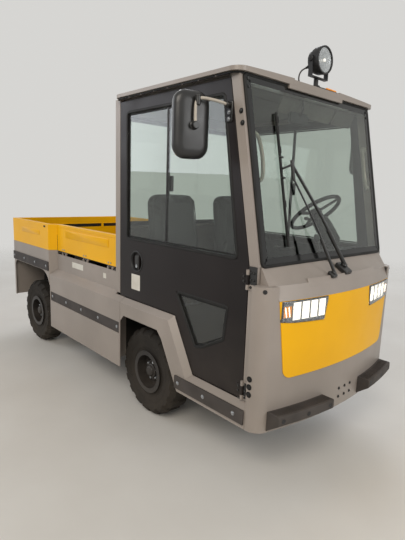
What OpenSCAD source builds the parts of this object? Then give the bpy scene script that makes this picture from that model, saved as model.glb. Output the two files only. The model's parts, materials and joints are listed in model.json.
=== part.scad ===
/* [Overall] */
// Distance between the front and rear axles
wheelbase = 1870; // [1750:10:2100]
// How far the middle of the bowed front stands ahead of the front pillars
nose = 155; // [135:5:250]
// Rear axle to the back of the rear body
rear_reach = 385; // [375:5:480]
// Width over the side pods and rear fenders
body_w = 1300; // [1280:10:1400]
// How far the doors sit inside the side of the body
door_step = 38; // [30:1:45]
// How far the deck walls sit inside the side of the body
deck_step = 62; // [55:1:70]
// Radius of the bow of the front, seen from above
bow_r = 2500; // [2200:50:4000]
// Radius of the two upright front corners
corner_r = 80; // [60:5:100]
// Thickness of the body's steel panels
skin = 6; // [4:0.5:8]

/* [Heights] */
// Underside of the body behind the front wheels
pod_bottom = 270; // [250:5:300]
// Underside of the body in front of the front wheels
sill_bottom = 325; // [310:5:340]
// Height of the sills under the doors
sill_h = 106; // [96:2:120]
// Crease where the side of the body folds into the ledge
ledge_low = 740; // [725:5:780]
// Rise of the ledge from the crease to the wall above it
ledge_rise = 48; // [40:1:60]
// Height of the fixed wall between the ledge and the deck's boards
wall_h = 136; // [110:2:150]
// Gap under the deck's boards, where the side boards' hinges are
board_gap = 31; // [27:1:40]
// Height of the boards around the deck
board_h = 225; // [180:5:300]
// How far the deck's floor lies below the boards' bottom edge
deck_drop = 15; // [12:1:30]
// Lower edge of the windscreen glass
belt = 1158; // [1150:2:1190]
// Height of the scuttle between the front cover's wings and the windscreen
scuttle_h = 86; // [76:2:100]
// Step between the wings and the raised middle of the front cover
cover_step = 21; // [15:1:30]
// Top of the door openings
door_top = 2055; // [2000:5:2100]
// Gap between the top of the doors and the roof
roof_gap = 20; // [15:1:30]
// Thickness of the roof in the middle
roof_t = 36; // [32:1:50]
// How much the roof falls from its middle to its sides
roof_crown = 16; // [8:1:20]

/* [Wheels] */
// Diameter of a tyre over its lugs
tyre_d = 590; // [560:5:610]
// Width of a tyre
tyre_w = 176; // [160:2:190]
// How far the tyres sit inside the side of the body
tyre_inset = 62; // [50:2:80]
// Number of lugs on each shoulder of a tyre
lugs = 18; // [14:1:20]
// Depth of the grooves between the lugs
lug_depth = 14; // [8:1:18]
// Diameter of the rim where the tyre seats
rim_d = 254; // [240:2:270]
// How far the rim's flange stands above the seat
flange_h = 17; // [12:1:20]
// Radius of the wheel spindles
spindle_r = 30; // [26:1:36]
// Radius of the kingpins
kingpin_r = 18; // [15:1:22]
// Distance of each kingpin from the middle of its wheel
kingpin_in = 105; // [95:1:115]
// Clearance of every pin and shaft in its bore
pin_gap = 0.1; // [0.05:0.01:0.1]

/* [Cab] */
// Front axle to the back of the cab
cab_back = 350; // [330:5:370]
// Front axle to the hinged edge of the doors
door_front = 890; // [880:2:920]
// Lean of the windscreen and front pillars, degrees
screen_lean = 11.4; // [10:0.1:13]
// Width of the windscreen glass
screen_w = 1180; // [1140:5:1190]
// Thickness of the windscreen and of the other panes
glass_t = 6; // [4:0.5:8]
// Thickness of a door
door_t = 32; // [26:1:36]
// Gap around the doors
door_gap = 5; // [5:0.5:7]
// Thickness of the cab's rear and front pillars
pillar = 55; // [45:1:60]
// Diameter of the round dish around a door's handle
dish_d = 125; // [100:5:140]
// Height of the floor under the feet
foot_floor = 455; // [450:1:470]
// Height of the platform that carries the seats
seat_floor = 800; // [795:1:820]
// Thickness of floor plates
plate = 8; // [5:0.5:10]
// Distance of each seat from the middle
seat_y = 300; // [280:5:310]
// Radius of the steering wheel
wheel_r = 175; // [160:5:200]

/* [Front] */
// Width of the front cover at its top
cover_top_w = 1112; // [1060:4:1130]
// Width of the yellow panel at its foot
cover_low_w = 1010; // [940:5:1050]
// Height of the yellow panel
panel_h = 404; // [360:4:450]
// Height of the headlamps
lamp_h = 126; // [100:2:150]
// Inner end of each headlamp, from the middle of the tug
lamp_in = 215; // [180:5:260]

/* [Deck] */
// Thickness of the boards around the deck
board_t = 40; // [30:1:45]
// Depth of the rear board's side blocks, front facet included
facet = 47; // [40:1:60]

/* [Battery] */
// Length of the battery
battery_l = 720; // [650:10:800]
// Width of the battery
battery_w = 780; // [700:10:860]
// Height of the battery
battery_h = 540; // [480:10:560]

/* [Hitch] */
// How far the towing jaw stands behind the body
hitch_reach = 120; // [100:5:150]
// Height of the middle of the towing jaw
hitch_z = 400; // [380:5:450]
// Clear height of the towing jaw
jaw_gap = 66; // [55:1:75]
// Radius of the towing pin
hitch_pin_r = 15; // [12:0.5:19]

/* [Steps] */
// Depth of the rubber blocks on the front
step_depth = 76; // [60:2:90]
// Height of the rubber blocks
step_h = 62; // [50:2:80]
// Underside of the rubber blocks, above the foot of the apron
step_up = 63; // [50:1:80]
// Inner end of each block, from the middle of the tug
step_in = 190; // [170:5:220]
// How far the outer end of each block sits inside the body's side
step_inset = 65; // [60:1:90]

/* [Mirrors] */
// Width of a mirror
mirror_w = 192; // [170:2:210]
// Height of a mirror
mirror_h = 318; // [280:2:340]
// How far the middle of each mirror stands outside the doors
mirror_out = 168; // [150:2:190]
// Radius of the mirrors' bent tubes
tube_r = 7; // [5:0.5:9]

/* [Work light] */
// Diameter of the work light
light_d = 148; // [120:2:160]
// Depth of the work light
light_t = 92; // [80:2:110]

/* [Hidden] */

grey = "#a3a09c";
dark = "#26272a";
rubber_black = "#1b1b1c";
yellow = "#f4b223";
glass = "#b8c8c8";

// Clearance between two fixed pieces that seat on each other
seat_gap = 0.3;
// Overlap of two solids that are joined into one
join = 1;

half_w = body_w / 2;
door_y = half_w - door_step;
deck_y = half_w - deck_step;
front_post = door_front + door_gap;
apron_back = front_post + pillar;
front_reach = apron_back + nose;
rear_x = -wheelbase - rear_reach;
bow_cx = front_reach - bow_r;
// Place of the bowed front at a distance y from the middle, moved outward by out
function bow_x(y, out = 0) = bow_cx + sqrt(pow(bow_r + out, 2) - y * y);
front_tip = bow_x(step_in, step_depth);
total_len = front_tip - rear_x + hitch_reach;
front_axle_x = total_len / 2 - front_tip;

ledge_high = ledge_low + ledge_rise;
wall_top = ledge_high + wall_h;
board_bottom = wall_top + board_gap;
board_top = board_bottom + board_h;
deck_top = board_bottom - deck_drop;
deck_low = deck_top - plate;
cover_wing = belt - scuttle_h;
cover_top = cover_wing + cover_step;
roof_z = door_top + roof_gap;
lean_run = tan(screen_lean);
// Place of the sloping front edge of the doors at a height z
function lean_x(foot, z) = foot - max(0, z - belt) * lean_run;

axle_z = tyre_d / 2;
tyre_r = tyre_d / 2;
track = body_w - 2 * tyre_inset - tyre_w;
tyre_in_y = track / 2 - tyre_w / 2;
kingpin_y = track / 2 - kingpin_in;

// The arch around the front wheel, seen from the side
arch_back = 233;
arch_top = tyre_d + 62;
arch_front_high = 240;
arch_front_low = 405;
arch_corner = 46;
arch_depth = 380;
mid_front = arch_depth + 12;
// The arch around the rear wheel
rear_arch_gap = 472;
rear_arch_front = wheelbase - rear_arch_gap;
rear_arch_top = ledge_low + 22;
rear_arch_r = 170;
// The step of the door's lower edge in front of the wheel
slant_top = 300;
slant_bottom = 478;
sill_top = sill_bottom + sill_h;
ledge_shift = 22;
screen_foot = apron_back + seat_gap;
// Height where the ledge meets the plane of the doors
ridge_z = ledge_low + ledge_rise * door_step / deck_step;

module from_axle() translate([front_axle_x, 0, 0]) children();
module left() mirror([0, 1, 0]) children();
module both() { children(); left() children(); }
// A flat outline in x and z, standing between two values of y
module xz(pts, y0, y1) translate([0, y1, 0]) rotate([90, 0, 0]) linear_extrude(y1 - y0) polygon(pts);
// A flat shape in y and z, standing between two values of x
module yz_shape(x0, x1) translate([x0, 0, 0]) rotate([90, 0, 90]) linear_extrude(x1 - x0) children();
module yz(pts, x0, x1) yz_shape(x0, x1) polygon(pts);
module block(x0, x1, y0, y1, z0, z1) translate([x0, y0, z0]) cube([x1 - x0, y1 - y0, z1 - z0]);
module y_rod(r, y0, y1) translate([0, y0, 0]) rotate([-90, 0, 0]) cylinder(r = r, h = y1 - y0, $fn = 48);
module x_rod(r, x0, x1) translate([x0, 0, 0]) rotate([0, 90, 0]) cylinder(r = r, h = x1 - x0, $fn = 48);
// A round bar between two points
module rod(p, q, r) translate(p) rotate([0, acos((q[2] - p[2]) / norm(q - p)), atan2(q[1] - p[1], q[0] - p[0])])
  cylinder(r = r, h = norm(q - p), $fn = 24);
// A rectangle with round corners, centred
module round_rect(w, h, r) {
  square([w - 2 * r, h], center = true);
  square([w, h - 2 * r], center = true);
  for (x = [-1, 1]) for (y = [-1, 1]) translate([x * (w / 2 - r), y * (h / 2 - r)]) circle(r = r, $fn = 32);
}
// A frame whose x leaves the windscreen, y runs across it and z runs up it
module on_screen() translate([screen_foot, 0, belt]) rotate([0, -screen_lean, 0]) children();

// Outline of the front seen from above, drawn inward by an inset
corner_cy = half_w - corner_r;
corner_cx = bow_cx + sqrt(pow(bow_r - corner_r, 2) - corner_cy * corner_cy);
corner_sin = corner_cy / (bow_r - corner_r);
// How far the bow runs on into each corner, so that the two overlap
corner_lap = 2;
module front_plan(inset, back) intersection() {
  union() {
    edge_y = corner_cy + (corner_r - inset) * corner_sin + corner_lap;
    intersection() {
      translate([bow_cx, 0]) circle(r = bow_r - inset, $fn = 360);
      translate([0, -edge_y]) square([2 * front_reach, 2 * edge_y]);
    }
    for (s = [-1, 1]) translate([corner_cx, s * corner_cy]) circle(r = corner_r - inset, $fn = 48);
    translate([0, -half_w + inset]) square([corner_cx, body_w - 2 * inset]);
  }
  translate([back, -half_w]) square([front_reach, body_w]);
}
// A shell that follows the bowed front between two offsets, cut to a flat shape in y and z
module bowed(out0, out1) intersection() {
  difference() {
    translate([bow_cx, 0, 0]) cylinder(r = bow_r + out1, h = roof_z, $fn = 360);
    translate([bow_cx, 0, -join]) cylinder(r = bow_r + out0, h = roof_z + 2 * join, $fn = 360);
  }
  yz_shape(0, 2 * front_reach) children();
}

// Frames, floors and battery
rail_w = 60;
rail_in = battery_w / 2 + 50;
rail_out = rail_in + rail_w;
front_rail_in = 160;
front_rail_out = front_rail_in + rail_w;
rear_rail_out = tyre_in_y - 62;
rear_rail_in = rear_rail_out - rail_w;
frame_low = pod_bottom + 25;
frame_high = frame_low + 165;
sill_high = frame_low + 246;
front_rail_low = sill_bottom + 20;
front_rail_high = foot_floor - plate - 7;
rear_rail_low = 430;
rear_rail_high = 540;
beam = 40;
tray_t = 18;
frame_back = -rear_arch_front + 3 + skin;
frame_front = -mid_front - skin;
bumper_t = 15;
module chassis_frame() color(dark) from_axle() {
  both() block(frame_back, frame_front, -rail_out, -rail_in, frame_low, frame_high);
  for (x = [frame_back, frame_front - beam]) {
    both() block(x, x + beam, -rail_out, -rail_in, frame_high - join, deck_low);
    block(x, x + beam, -deck_y + skin, deck_y - skin, deck_low - 42, deck_low);
    block(x, x + beam, -rail_out, rail_out, frame_low + join, sill_high);
  }
  block(frame_back + join, frame_front - join, -rail_in - join, rail_in + join, frame_low + 2, frame_low + 2 + tray_t);
}
module front_frame() color(dark) from_axle() {
  both() block(frame_front, apron_back - 2, -front_rail_out, -front_rail_in, front_rail_low, front_rail_high);
  block(arch_front_low + 8, arch_front_low + 8 + beam, -door_y + door_t, door_y - door_t, front_rail_low + join,
    foot_floor - plate);
  block(apron_back - beam - 4, apron_back - 4, -half_w + skin, half_w - skin, front_rail_low + join,
    front_rail_high - 20);
  translate([0, 0, front_rail_low]) linear_extrude(plate) polygon(concat([[apron_back - 5, -corner_cy]],
    [for (y = [-4:4]) [bow_x(y * corner_cy / 4, -skin - seat_gap), y * corner_cy / 4]], [[apron_back - 5, corner_cy]]));
}
module rear_frame() color(dark) from_axle() {
  post_x = rear_x + skin + bumper_t - join;
  both() {
    block(rear_x + skin, frame_back, -rear_rail_out, -rear_rail_in, rear_rail_low, rear_rail_high);
    block(post_x, post_x + beam, -rear_rail_out, -rear_rail_in, rear_rail_high - join, deck_low);
  }
  block(rear_x + skin, rear_x + skin + bumper_t, -rear_rail_out - join, rear_rail_out + join, hitch_z - 70,
    rear_rail_high + 20);
}
module cab_floor() color(dark) from_axle() {
  riser_x = arch_front_high + 30;
  floor_y = door_y - door_t - 6;
  seat_x = -cab_back + 4;
  block(arch_front_low + 8, front_reach - 105, -floor_y, floor_y, foot_floor - plate, foot_floor);
  difference() {
    xz([[arch_front_low + 8, foot_floor - plate], [riser_x, seat_floor - plate], [seat_x, seat_floor - plate],
      [seat_x, seat_floor], [riser_x + 12, seat_floor], [arch_front_low + 22, foot_floor - plate]],
      -floor_y, floor_y);
    both() block(-cab_back, -cab_back + pillar, -door_y, -door_y + pillar, ledge_high, seat_floor + join);
  }
}
module deck_floor() color(dark) from_axle() {
  step_x = -rear_arch_front + facet + 4;
  block(step_x - join, -cab_back - 6, -deck_y + board_t + 6, deck_y - board_t - 6, deck_low, deck_top);
  block(rear_x + skin + 2, step_x - 66, -half_w + skin + 2, half_w - skin - 2, deck_low, deck_top);
  block(step_x - 66 - join, step_x, -deck_y + board_t + 6, deck_y - board_t - 6, deck_low, deck_top);
}
battery_x = (frame_back + frame_front) / 2;
module battery() color("#3a4450") from_axle()
  translate([battery_x - battery_l / 2, -battery_w / 2, frame_low + 2 + tray_t + seat_gap])
    cube([battery_l, battery_w, battery_h]);

// Rear body and deck
facet_x = -rear_arch_front - 9;
module rear_plan(t) {
  inner = t * (sqrt(pow(facet, 2) + pow(deck_step, 2)) - facet) / deck_step;
  polygon([[facet_x + facet, -deck_y], [facet_x, -half_w], [rear_x, -half_w], [rear_x, half_w], [facet_x, half_w],
    [facet_x + facet, deck_y], [facet_x + facet, deck_y - t], [facet_x + facet - inner, deck_y - t],
    [facet_x - inner, half_w - t], [rear_x + t, half_w - t], [rear_x + t, -half_w + t],
    [facet_x - inner, -half_w + t], [facet_x + facet - inner, -deck_y + t], [facet_x + facet, -deck_y + t]]);
}
// Outline of the rear arch in x and z
module rear_arch_plan() {
  x0 = rear_x + 26;
  small = 60;
  for (c = [[x0 + small, small], [-rear_arch_front - rear_arch_r, rear_arch_r]])
    translate([c[0], rear_arch_top - c[1]]) circle(r = c[1], $fn = 64);
  translate([x0 + small, rear_arch_top - rear_arch_r])
    square([-rear_arch_front - rear_arch_r - x0 - small, rear_arch_r]);
  translate([x0, 0]) square([small, rear_arch_top - small]);
  translate([x0, 0]) square([-rear_arch_front - x0, rear_arch_top - rear_arch_r]);
}
rear_bottom = 400;
module rear_body() color(grey) from_axle() difference() {
  translate([0, 0, rear_bottom]) linear_extrude(board_bottom - rear_bottom) rear_plan(skin);
  translate([0, half_w + join, 0]) rotate([90, 0, 0]) linear_extrude(body_w + 2 * join) intersection() {
    rear_arch_plan();
    translate([rear_x + skin, 0]) square([wheelbase, rear_arch_top]);
  }
  both() yz([[-half_w - join, 0], [-half_w - join, ledge_low], [-deck_y, ledge_high], [-deck_y + board_t, ledge_high],
    [-deck_y + board_t, 0]], -rear_arch_front - join, 0);
}
module rear_boards() color(yellow) from_axle()
  translate([0, 0, board_bottom]) linear_extrude(board_h) rear_plan(board_t);

// The side boards, each with three hinge barrels on its lower edge
hinge_y = deck_y - 12;
hinge_z = board_bottom - 13;
hinge_r = 8;
barrel = 50;
barrel_gap = 2;
ear_t = 10;
board_back = rear_arch_front - facet + 6;
board_front = cab_back + 6;
hinge_in = 120;
hinge_spots = [board_back - hinge_in, (board_back + board_front) / 2, board_front + hinge_in];
module side_board() difference() {
  union() {
    block(-board_back, -board_front, -deck_y, -deck_y + board_t, board_bottom, board_top);
    for (x = hinge_spots) translate([-x - barrel / 2, -hinge_y, hinge_z]) {
      translate([0, -6, 0]) cube([barrel, 12, board_bottom - hinge_z + join]);
      x_rod(hinge_r, 0, barrel);
    }
  }
  for (x = hinge_spots) translate([-x, -hinge_y, hinge_z]) x_rod(hinge_r / 2 + pin_gap, -barrel, barrel);
}
module side_board_right() color(yellow) from_axle() side_board();
module side_board_left() color(yellow) from_axle() left() side_board();

// Side pods between the wheels, with the fixed wall under the deck and the groove of the strip
strip_low = pod_bottom + 242;
strip_h = 80;
strip_ends = [-rear_arch_front + 14, -arch_back - 14];
module pod() difference() {
  union() {
    yz([[-half_w, pod_bottom], [-half_w, ledge_low], [-deck_y, ledge_high], [-deck_y, wall_top],
      [-deck_y + skin, wall_top], [-deck_y + skin, ledge_high - skin / 2], [-half_w + skin, ledge_low - skin / 2],
      [-half_w + skin, pod_bottom + skin], [-rail_out, pod_bottom + skin], [-rail_out, pod_bottom]],
      -rear_arch_front + 3, -arch_back - 3);
    for (x = [-rear_arch_front + 3, frame_front])
      yz([[-half_w + 1, pod_bottom + 1], [-half_w + 1, ledge_low - 1], [-deck_y + 1, ledge_high - 1],
        [-rail_out, ledge_high - 1], [-rail_out, pod_bottom + 1]], x, x + skin);
    for (x = hinge_spots) {
      for (s = [-1, 1]) translate([-x + s * (barrel / 2 + barrel_gap + ear_t / 2), -hinge_y, hinge_z]) {
        x_rod(hinge_r, -ear_t / 2, ear_t / 2);
        translate([-ear_t / 2, -hinge_r - 4, -hinge_z + wall_top - 20]) cube([ear_t, hinge_r + 4, hinge_z - wall_top + 20]);
      }
      translate([-x, -hinge_y, hinge_z]) x_rod(hinge_r / 2, -barrel / 2 - ear_t - barrel_gap, barrel / 2 + ear_t + barrel_gap);
    }
  }
  block(-cab_back - 2, 0, -door_y, -rail_out - 1, ridge_z, belt);
  block(-rear_arch_front, facet_x + facet + 1, -half_w, -rail_out, ledge_high - 0.5, belt);
  block(-mid_front, 0, -half_w + skin, 0, 0, arch_top);
  block(strip_ends[0], strip_ends[1], -half_w - join, -half_w + skin + join, strip_low, strip_low + strip_h);
}
module pod_right() color(grey) from_axle() pod();
module pod_left() color(grey) from_axle() left() pod();

// Front fenders with the ledge that follows the doors' lower edge
crease = [[-arch_back, ledge_low], [slant_top, ledge_low], [slant_bottom, sill_top], [apron_back - 3, sill_top]];
ridge = [[-arch_back, ridge_z], [slant_top + ledge_shift, ridge_z],
  [slant_bottom + ledge_shift, foot_floor - 2], [apron_back - 3, foot_floor - 2]];
arch_shoulder = arch_front_high - 45;
module fender() {
  skin_pts = concat(crease, [[apron_back - 3, sill_bottom], [arch_front_low - 5, sill_bottom],
    [arch_front_high, arch_top - arch_corner], [arch_shoulder, arch_top], [-arch_back + 43, arch_top],
    [-arch_back, arch_top - arch_corner]]);
  xz(skin_pts, -half_w, -half_w + skin);
  for (i = [0:2]) hull() {
    xz([crease[i], crease[i + 1], crease[i + 1] - [0, skin], crease[i] - [0, skin]], -half_w, -half_w + skin);
    xz([ridge[i], ridge[i + 1], ridge[i + 1] - [0, skin], ridge[i] - [0, skin]], -door_y - 1, -door_y);
  }
  xz([[-arch_depth - 6, arch_top], [arch_shoulder, arch_top], [arch_front_high, arch_top - arch_corner],
    [arch_front_low - 5, sill_bottom], [arch_front_low + skin, sill_bottom],
    [arch_front_high + skin, arch_top - arch_corner + 2], [arch_shoulder + 2, arch_top + skin],
    [-arch_depth - 6, arch_top + skin]], -half_w + skin, -front_rail_out - 2);
}
module fender_right() color(grey) from_axle() fender();
module fender_left() color(grey) from_axle() left() fender();

// Dark strips: sunk in the pods, and standing on the front sills and the rear body
strip_t = 10;
sunk = 3;
module side_strips() color(rubber_black) from_axle() both() {
  block(strip_ends[0] + seat_gap, strip_ends[1] - seat_gap, -half_w + sunk, -half_w + skin,
    strip_low + seat_gap, strip_low + strip_h - seat_gap);
  block(arch_front_low - 18, apron_back - 6, -half_w - strip_t, -half_w, sill_bottom + 24, sill_top - 4);
  block(rear_x + 4, -rear_arch_front - 12, -half_w - strip_t, -half_w, rear_arch_top + 8, rear_arch_top + 88);
}

// Bowed front: the apron, the cover above it and the yellow panel on it
panel_top = cover_wing - 72;
cover_proud = 5;
cover_y0 = cover_top_w / 2;
cover_y1 = cover_low_w / 2;
crown_y = 340;
// How far the cover leans back above the yellow panel
cover_lean = 0.42;
module front_apron() color(grey) from_axle() {
  translate([0, 0, sill_bottom]) linear_extrude(panel_top - sill_bottom) difference() {
    front_plan(0, apron_back);
    front_plan(skin, apron_back - join);
  }
  difference() {
    translate([0, 0, panel_top - join]) linear_extrude(cover_wing - panel_top + join) front_plan(0, apron_back);
    translate([0, 0, sill_bottom]) linear_extrude(cover_wing - skin - sill_bottom) front_plan(skin, apron_back - join);
    block(0, 2 * front_reach, -cover_y0 - seat_gap, cover_y0 + seat_gap, panel_top, roof_z);
  }
}
// The cover's body up to a height, drawn inward by an inset
module cover_body(top, inset) {
  r = bow_r + cover_proud - inset;
  back = 2 * nose;
  translate([bow_cx, 0, 0]) rotate_extrude($fn = 360) polygon([[r - back, panel_top + seat_gap - inset],
    [r, panel_top + seat_gap - inset], [r - (top - panel_top) * cover_lean, top - inset], [r - back, top - inset]]);
}
module front_cover() color(grey) from_axle() {
  for (part = [[-crown_y, crown_y, cover_top], [crown_y - skin, cover_y0, cover_wing], [-cover_y0, -crown_y + skin, cover_wing]])
    difference() {
      intersection() {
        cover_body(part[2], 0);
        block(apron_back, 2 * front_reach, part[0], part[1], 0, roof_z);
      }
      intersection() {
        cover_body(part[2], skin);
        block(0, 2 * front_reach, part[0] + skin, part[1] - skin, 0, roof_z);
      }
    }
}
lamp_out = cover_y0 - 16;
lamp_top = panel_top - 2;
lamp_bottom = lamp_top - lamp_h;
lamp_slant = 25;
lamp_lift = 22;
lamp_knee = 85;
function lamp_outline(inset) = [[-lamp_out + inset, lamp_top - inset], [-lamp_in - inset, lamp_top - inset],
  [-lamp_in - lamp_slant - inset, lamp_bottom + inset], [-lamp_out + lamp_knee, lamp_bottom + lamp_lift / 2 + inset],
  [-lamp_out + inset, lamp_bottom + lamp_lift + inset]];
panel_corner = 50;
// Outline of the yellow panel in y and z, its lower corners rounded
panel_low = panel_top - panel_h;
panel_round = [for (a = [0:15:90]) [cover_y1 - panel_corner * (1 - cos(a)), panel_low + panel_corner * (1 - sin(a))]];
module front_panel() color(yellow) from_axle() difference() {
  bowed(0, cover_proud) polygon(concat([[-cover_y0 + 4, panel_top], [cover_y0 - 4, panel_top]], panel_round,
    [for (i = [len(panel_round) - 1:-1:0]) [-panel_round[i][0], panel_round[i][1]]]));
  both() bowed(-join, cover_proud + 2) polygon(lamp_outline(0));
}
// Each headlamp is a row of cells, the outermost one for the turn signal
lamp_cells = 5;
lamp_rib = 8;
cell_w = (lamp_out - lamp_in - lamp_slant - 2 * lamp_rib - 4) / lamp_cells;
module headlamps() color("#e8ecef") from_axle() both() difference() {
  bowed(0, 8) polygon(lamp_outline(1));
  bowed(2, 9) for (i = [0:lamp_cells - 1]) {
    low = lamp_bottom + (i == 0 ? 44 : 26);
    translate([-lamp_out + 10 + i * (cell_w + lamp_rib / 2), low])
      square([cell_w - lamp_rib / 2, lamp_top - (i == 0 ? 26 : 10) - low]);
  }
}
step_z = sill_bottom + step_up;
step_out = half_w - step_inset;
step_bevel = 20;
module step_blocks() color(rubber_black) from_axle() both() intersection() {
  translate([bow_cx, 0, 0]) rotate_extrude($fn = 360) polygon([[bow_r, step_z], [bow_r + step_depth - 8, step_z],
    [bow_r + step_depth, step_z + 8], [bow_r + step_depth, step_z + step_h - step_bevel],
    [bow_r + step_depth - step_bevel, step_z + step_h], [bow_r, step_z + step_h]]);
  block(0, 2 * front_reach, -step_out, -step_in, 0, belt);
}

// Cab
pillar_back_x = -cab_back;
pillar_back_front = -cab_back + pillar;
header_h = 40;
window_low = belt + 92;
window_high = door_top - 70;
module cab_frame() color(grey) from_axle() {
  both() {
    block(pillar_back_x, pillar_back_front, -door_y, -door_y + pillar, ledge_high + seat_gap, roof_z);
    hull() {
      block(front_post, front_post + pillar, -door_y, -door_y + pillar, belt - join, belt);
      translate([-(roof_z - belt) * lean_run, 0, 0])
        block(front_post, front_post + pillar, -door_y, -door_y + pillar, roof_z - join, roof_z);
    }
    block(front_post, front_post + pillar - 4, -door_y, -door_y + pillar, sill_top + 24, belt);
    door_hinge_post();
    block(pillar_back_x, lean_x(front_post, roof_z) + pillar, -door_y + door_t + 4, -door_y + pillar, door_top - 28, roof_z);
  }
  block(pillar_back_x, pillar_back_x + 30, -door_y + 1, door_y - 1, seat_floor, window_low);
  block(pillar_back_x, pillar_back_x + 40, -door_y + 1, door_y - 1, window_high, roof_z);
  hull() {
    translate([-(roof_z - header_h - belt) * lean_run, 0, 0])
      block(front_post, front_post + pillar, -door_y + 1, door_y - 1, roof_z - header_h, roof_z - header_h + join);
    translate([-(roof_z - belt) * lean_run, 0, 0])
      block(front_post, front_post + pillar, -door_y + 1, door_y - 1, roof_z - join, roof_z);
  }
}
// The roof: a crowned panel with a hollow between the cab's rails
roof_back = -cab_back + 32;
roof_front = lean_x(screen_foot, roof_z) + 27;
roof_corner = 60;
crown_steps = 12;
notch_z = roof_z + roof_t * 0.75;
notch_l = 40;
notch_w = 440;
module cab_roof() color(grey) from_axle() difference() {
  intersection() {
    translate([(roof_back + roof_front) / 2, 0, roof_z]) linear_extrude(roof_t)
      round_rect(roof_front - roof_back, body_w, roof_corner);
    yz(concat([for (i = [-1:1 / crown_steps:1]) [half_w * i, roof_z + roof_t - roof_crown * i * i]],
      [[half_w, roof_z - join], [-half_w, roof_z - join]]), roof_back - join, roof_front + join);
  }
  block(pillar_back_front, lean_x(front_post, roof_z) - 6, -door_y + pillar + 6, door_y - pillar - 6, roof_z - join, roof_z + roof_t / 3);
  block(roof_front - notch_l, roof_front + join, -notch_w / 2, notch_w / 2, notch_z, roof_z + roof_t + join);
}
module scuttle() color(grey) from_axle() intersection() {
  on_screen() block(seat_gap, glass_t, -cover_y0 + 1, cover_y0 - 1, -2 * scuttle_h, -2);
  union() {
    block(0, front_reach, -half_w, half_w, cover_top + seat_gap, roof_z);
    both() block(0, front_reach, crown_y + seat_gap, half_w, cover_wing + seat_gap, roof_z);
  }
}
screen_h = (roof_z - 46 - belt) / cos(screen_lean);
module windscreen() color(glass, 0.35) from_axle() on_screen() block(0, glass_t, -screen_w / 2, screen_w / 2, 0, screen_h);
module rear_window() color(glass, 0.35) from_axle()
  block(-cab_back + 10, -cab_back + 10 + glass_t, -door_y + pillar, door_y - pillar, window_low + seat_gap,
    window_high - seat_gap);

// Doors: a flat skin with an upper and a lower pane and a dish around the handle
door_x0 = pillar_back_front + door_gap;
door_pts = [[door_x0, ridge_z + door_gap], [slant_top + ledge_shift + 2, ridge_z + door_gap],
  [slant_bottom + ledge_shift + door_gap, foot_floor + 4], [door_front, foot_floor + 4], [door_front, belt],
  [lean_x(door_front, door_top), door_top], [door_x0, door_top]];
pane_low = belt + 22;
pane_high = door_top - 70;
stile_back = 79;
stile_low = 75;
stile_high = 51;
upper_pane = [[door_x0 + stile_back, pane_low], [lean_x(door_front, pane_low) - stile_low, pane_low],
  [lean_x(door_front, pane_high) - stile_high, pane_high], [door_x0 + stile_back, pane_high]];
low_pane_front = door_front - 131;
low_pane_top = belt - 238;
low_pane_low = foot_floor + 175;
lower_pane = [[low_pane_front - 429, low_pane_top], [low_pane_front, low_pane_top],
  [low_pane_front - 21, low_pane_low + 103], [low_pane_front - 184, low_pane_low + 15],
  [low_pane_front - 247, low_pane_low]];
dish_x = door_x0 + 198;
dish_z = belt - 120;
dish_t = 14;
module door() {
  difference() {
    xz(door_pts, -door_y, -door_y + door_t);
    xz(upper_pane, -door_y - join, -door_y + door_t + join);
    xz(lower_pane, -door_y - join, -door_y + door_t + join);
    translate([dish_x, 0, dish_z]) y_rod(dish_d / 2, -door_y - join, -door_y + dish_t);
  }
  block(dish_x + 8, dish_x + 26, -door_y + 3, -door_y + dish_t + join, dish_z - dish_d / 2 + 8, dish_z + dish_d / 2 - 8);
  door_hinge_leaf();
}
pane_in = 10;
module door_glass() {
  xz(upper_pane, -door_y + pane_in, -door_y + pane_in + glass_t);
  xz(lower_pane, -door_y + pane_in, -door_y + pane_in + glass_t);
}
// Door hinges: two barrels on the post, one between them on the door, and a pin in all three
door_hinge_y = door_y + 9;
door_hinge_z = [foot_floor + 57, belt - 68];
door_hinge_r = 9;
door_pin_r = 4;
door_leaf = 45;
leaf_t = 6;
door_barrel = 25;
module door_hinge_post() for (z = door_hinge_z) {
  for (s = [-1, 1]) translate([front_post, -door_hinge_y, z + s * (door_barrel / 2 + door_barrel)])
    cylinder(r = door_hinge_r, h = door_barrel, center = true, $fn = 32);
  translate([front_post, -door_hinge_y, z - 2 * door_barrel]) cylinder(r = door_pin_r, h = 4 * door_barrel, $fn = 32);
  for (s = [-1, 1]) block(front_post, front_post + door_leaf, -door_y - leaf_t, -door_y,
    z + s * door_barrel * 1.5 - door_barrel / 2, z + s * door_barrel * 1.5 + door_barrel / 2);
  block(front_post + 12, front_post + door_leaf, -door_y - leaf_t, -door_y, z - 2 * door_barrel, z + 2 * door_barrel);
}
module door_hinge_leaf() for (z = door_hinge_z) difference() {
  union() {
    translate([front_post, -door_hinge_y, z - door_barrel + seat_gap])
      cylinder(r = door_hinge_r, h = 2 * (door_barrel - seat_gap), $fn = 32);
    block(front_post - door_leaf, front_post, -door_y - leaf_t, -door_y, z - door_barrel + seat_gap,
      z + door_barrel - seat_gap);
  }
  translate([front_post, -door_hinge_y, z - 2 * door_barrel])
    cylinder(r = door_pin_r + pin_gap, h = 4 * door_barrel, $fn = 32);
}
module door_right() color(dark) from_axle() door();
module door_left() color(dark) from_axle() left() door();
module door_glass_right() color(glass, 0.35) from_axle() door_glass();
module door_glass_left() color(glass, 0.35) from_axle() left() door_glass();

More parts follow.
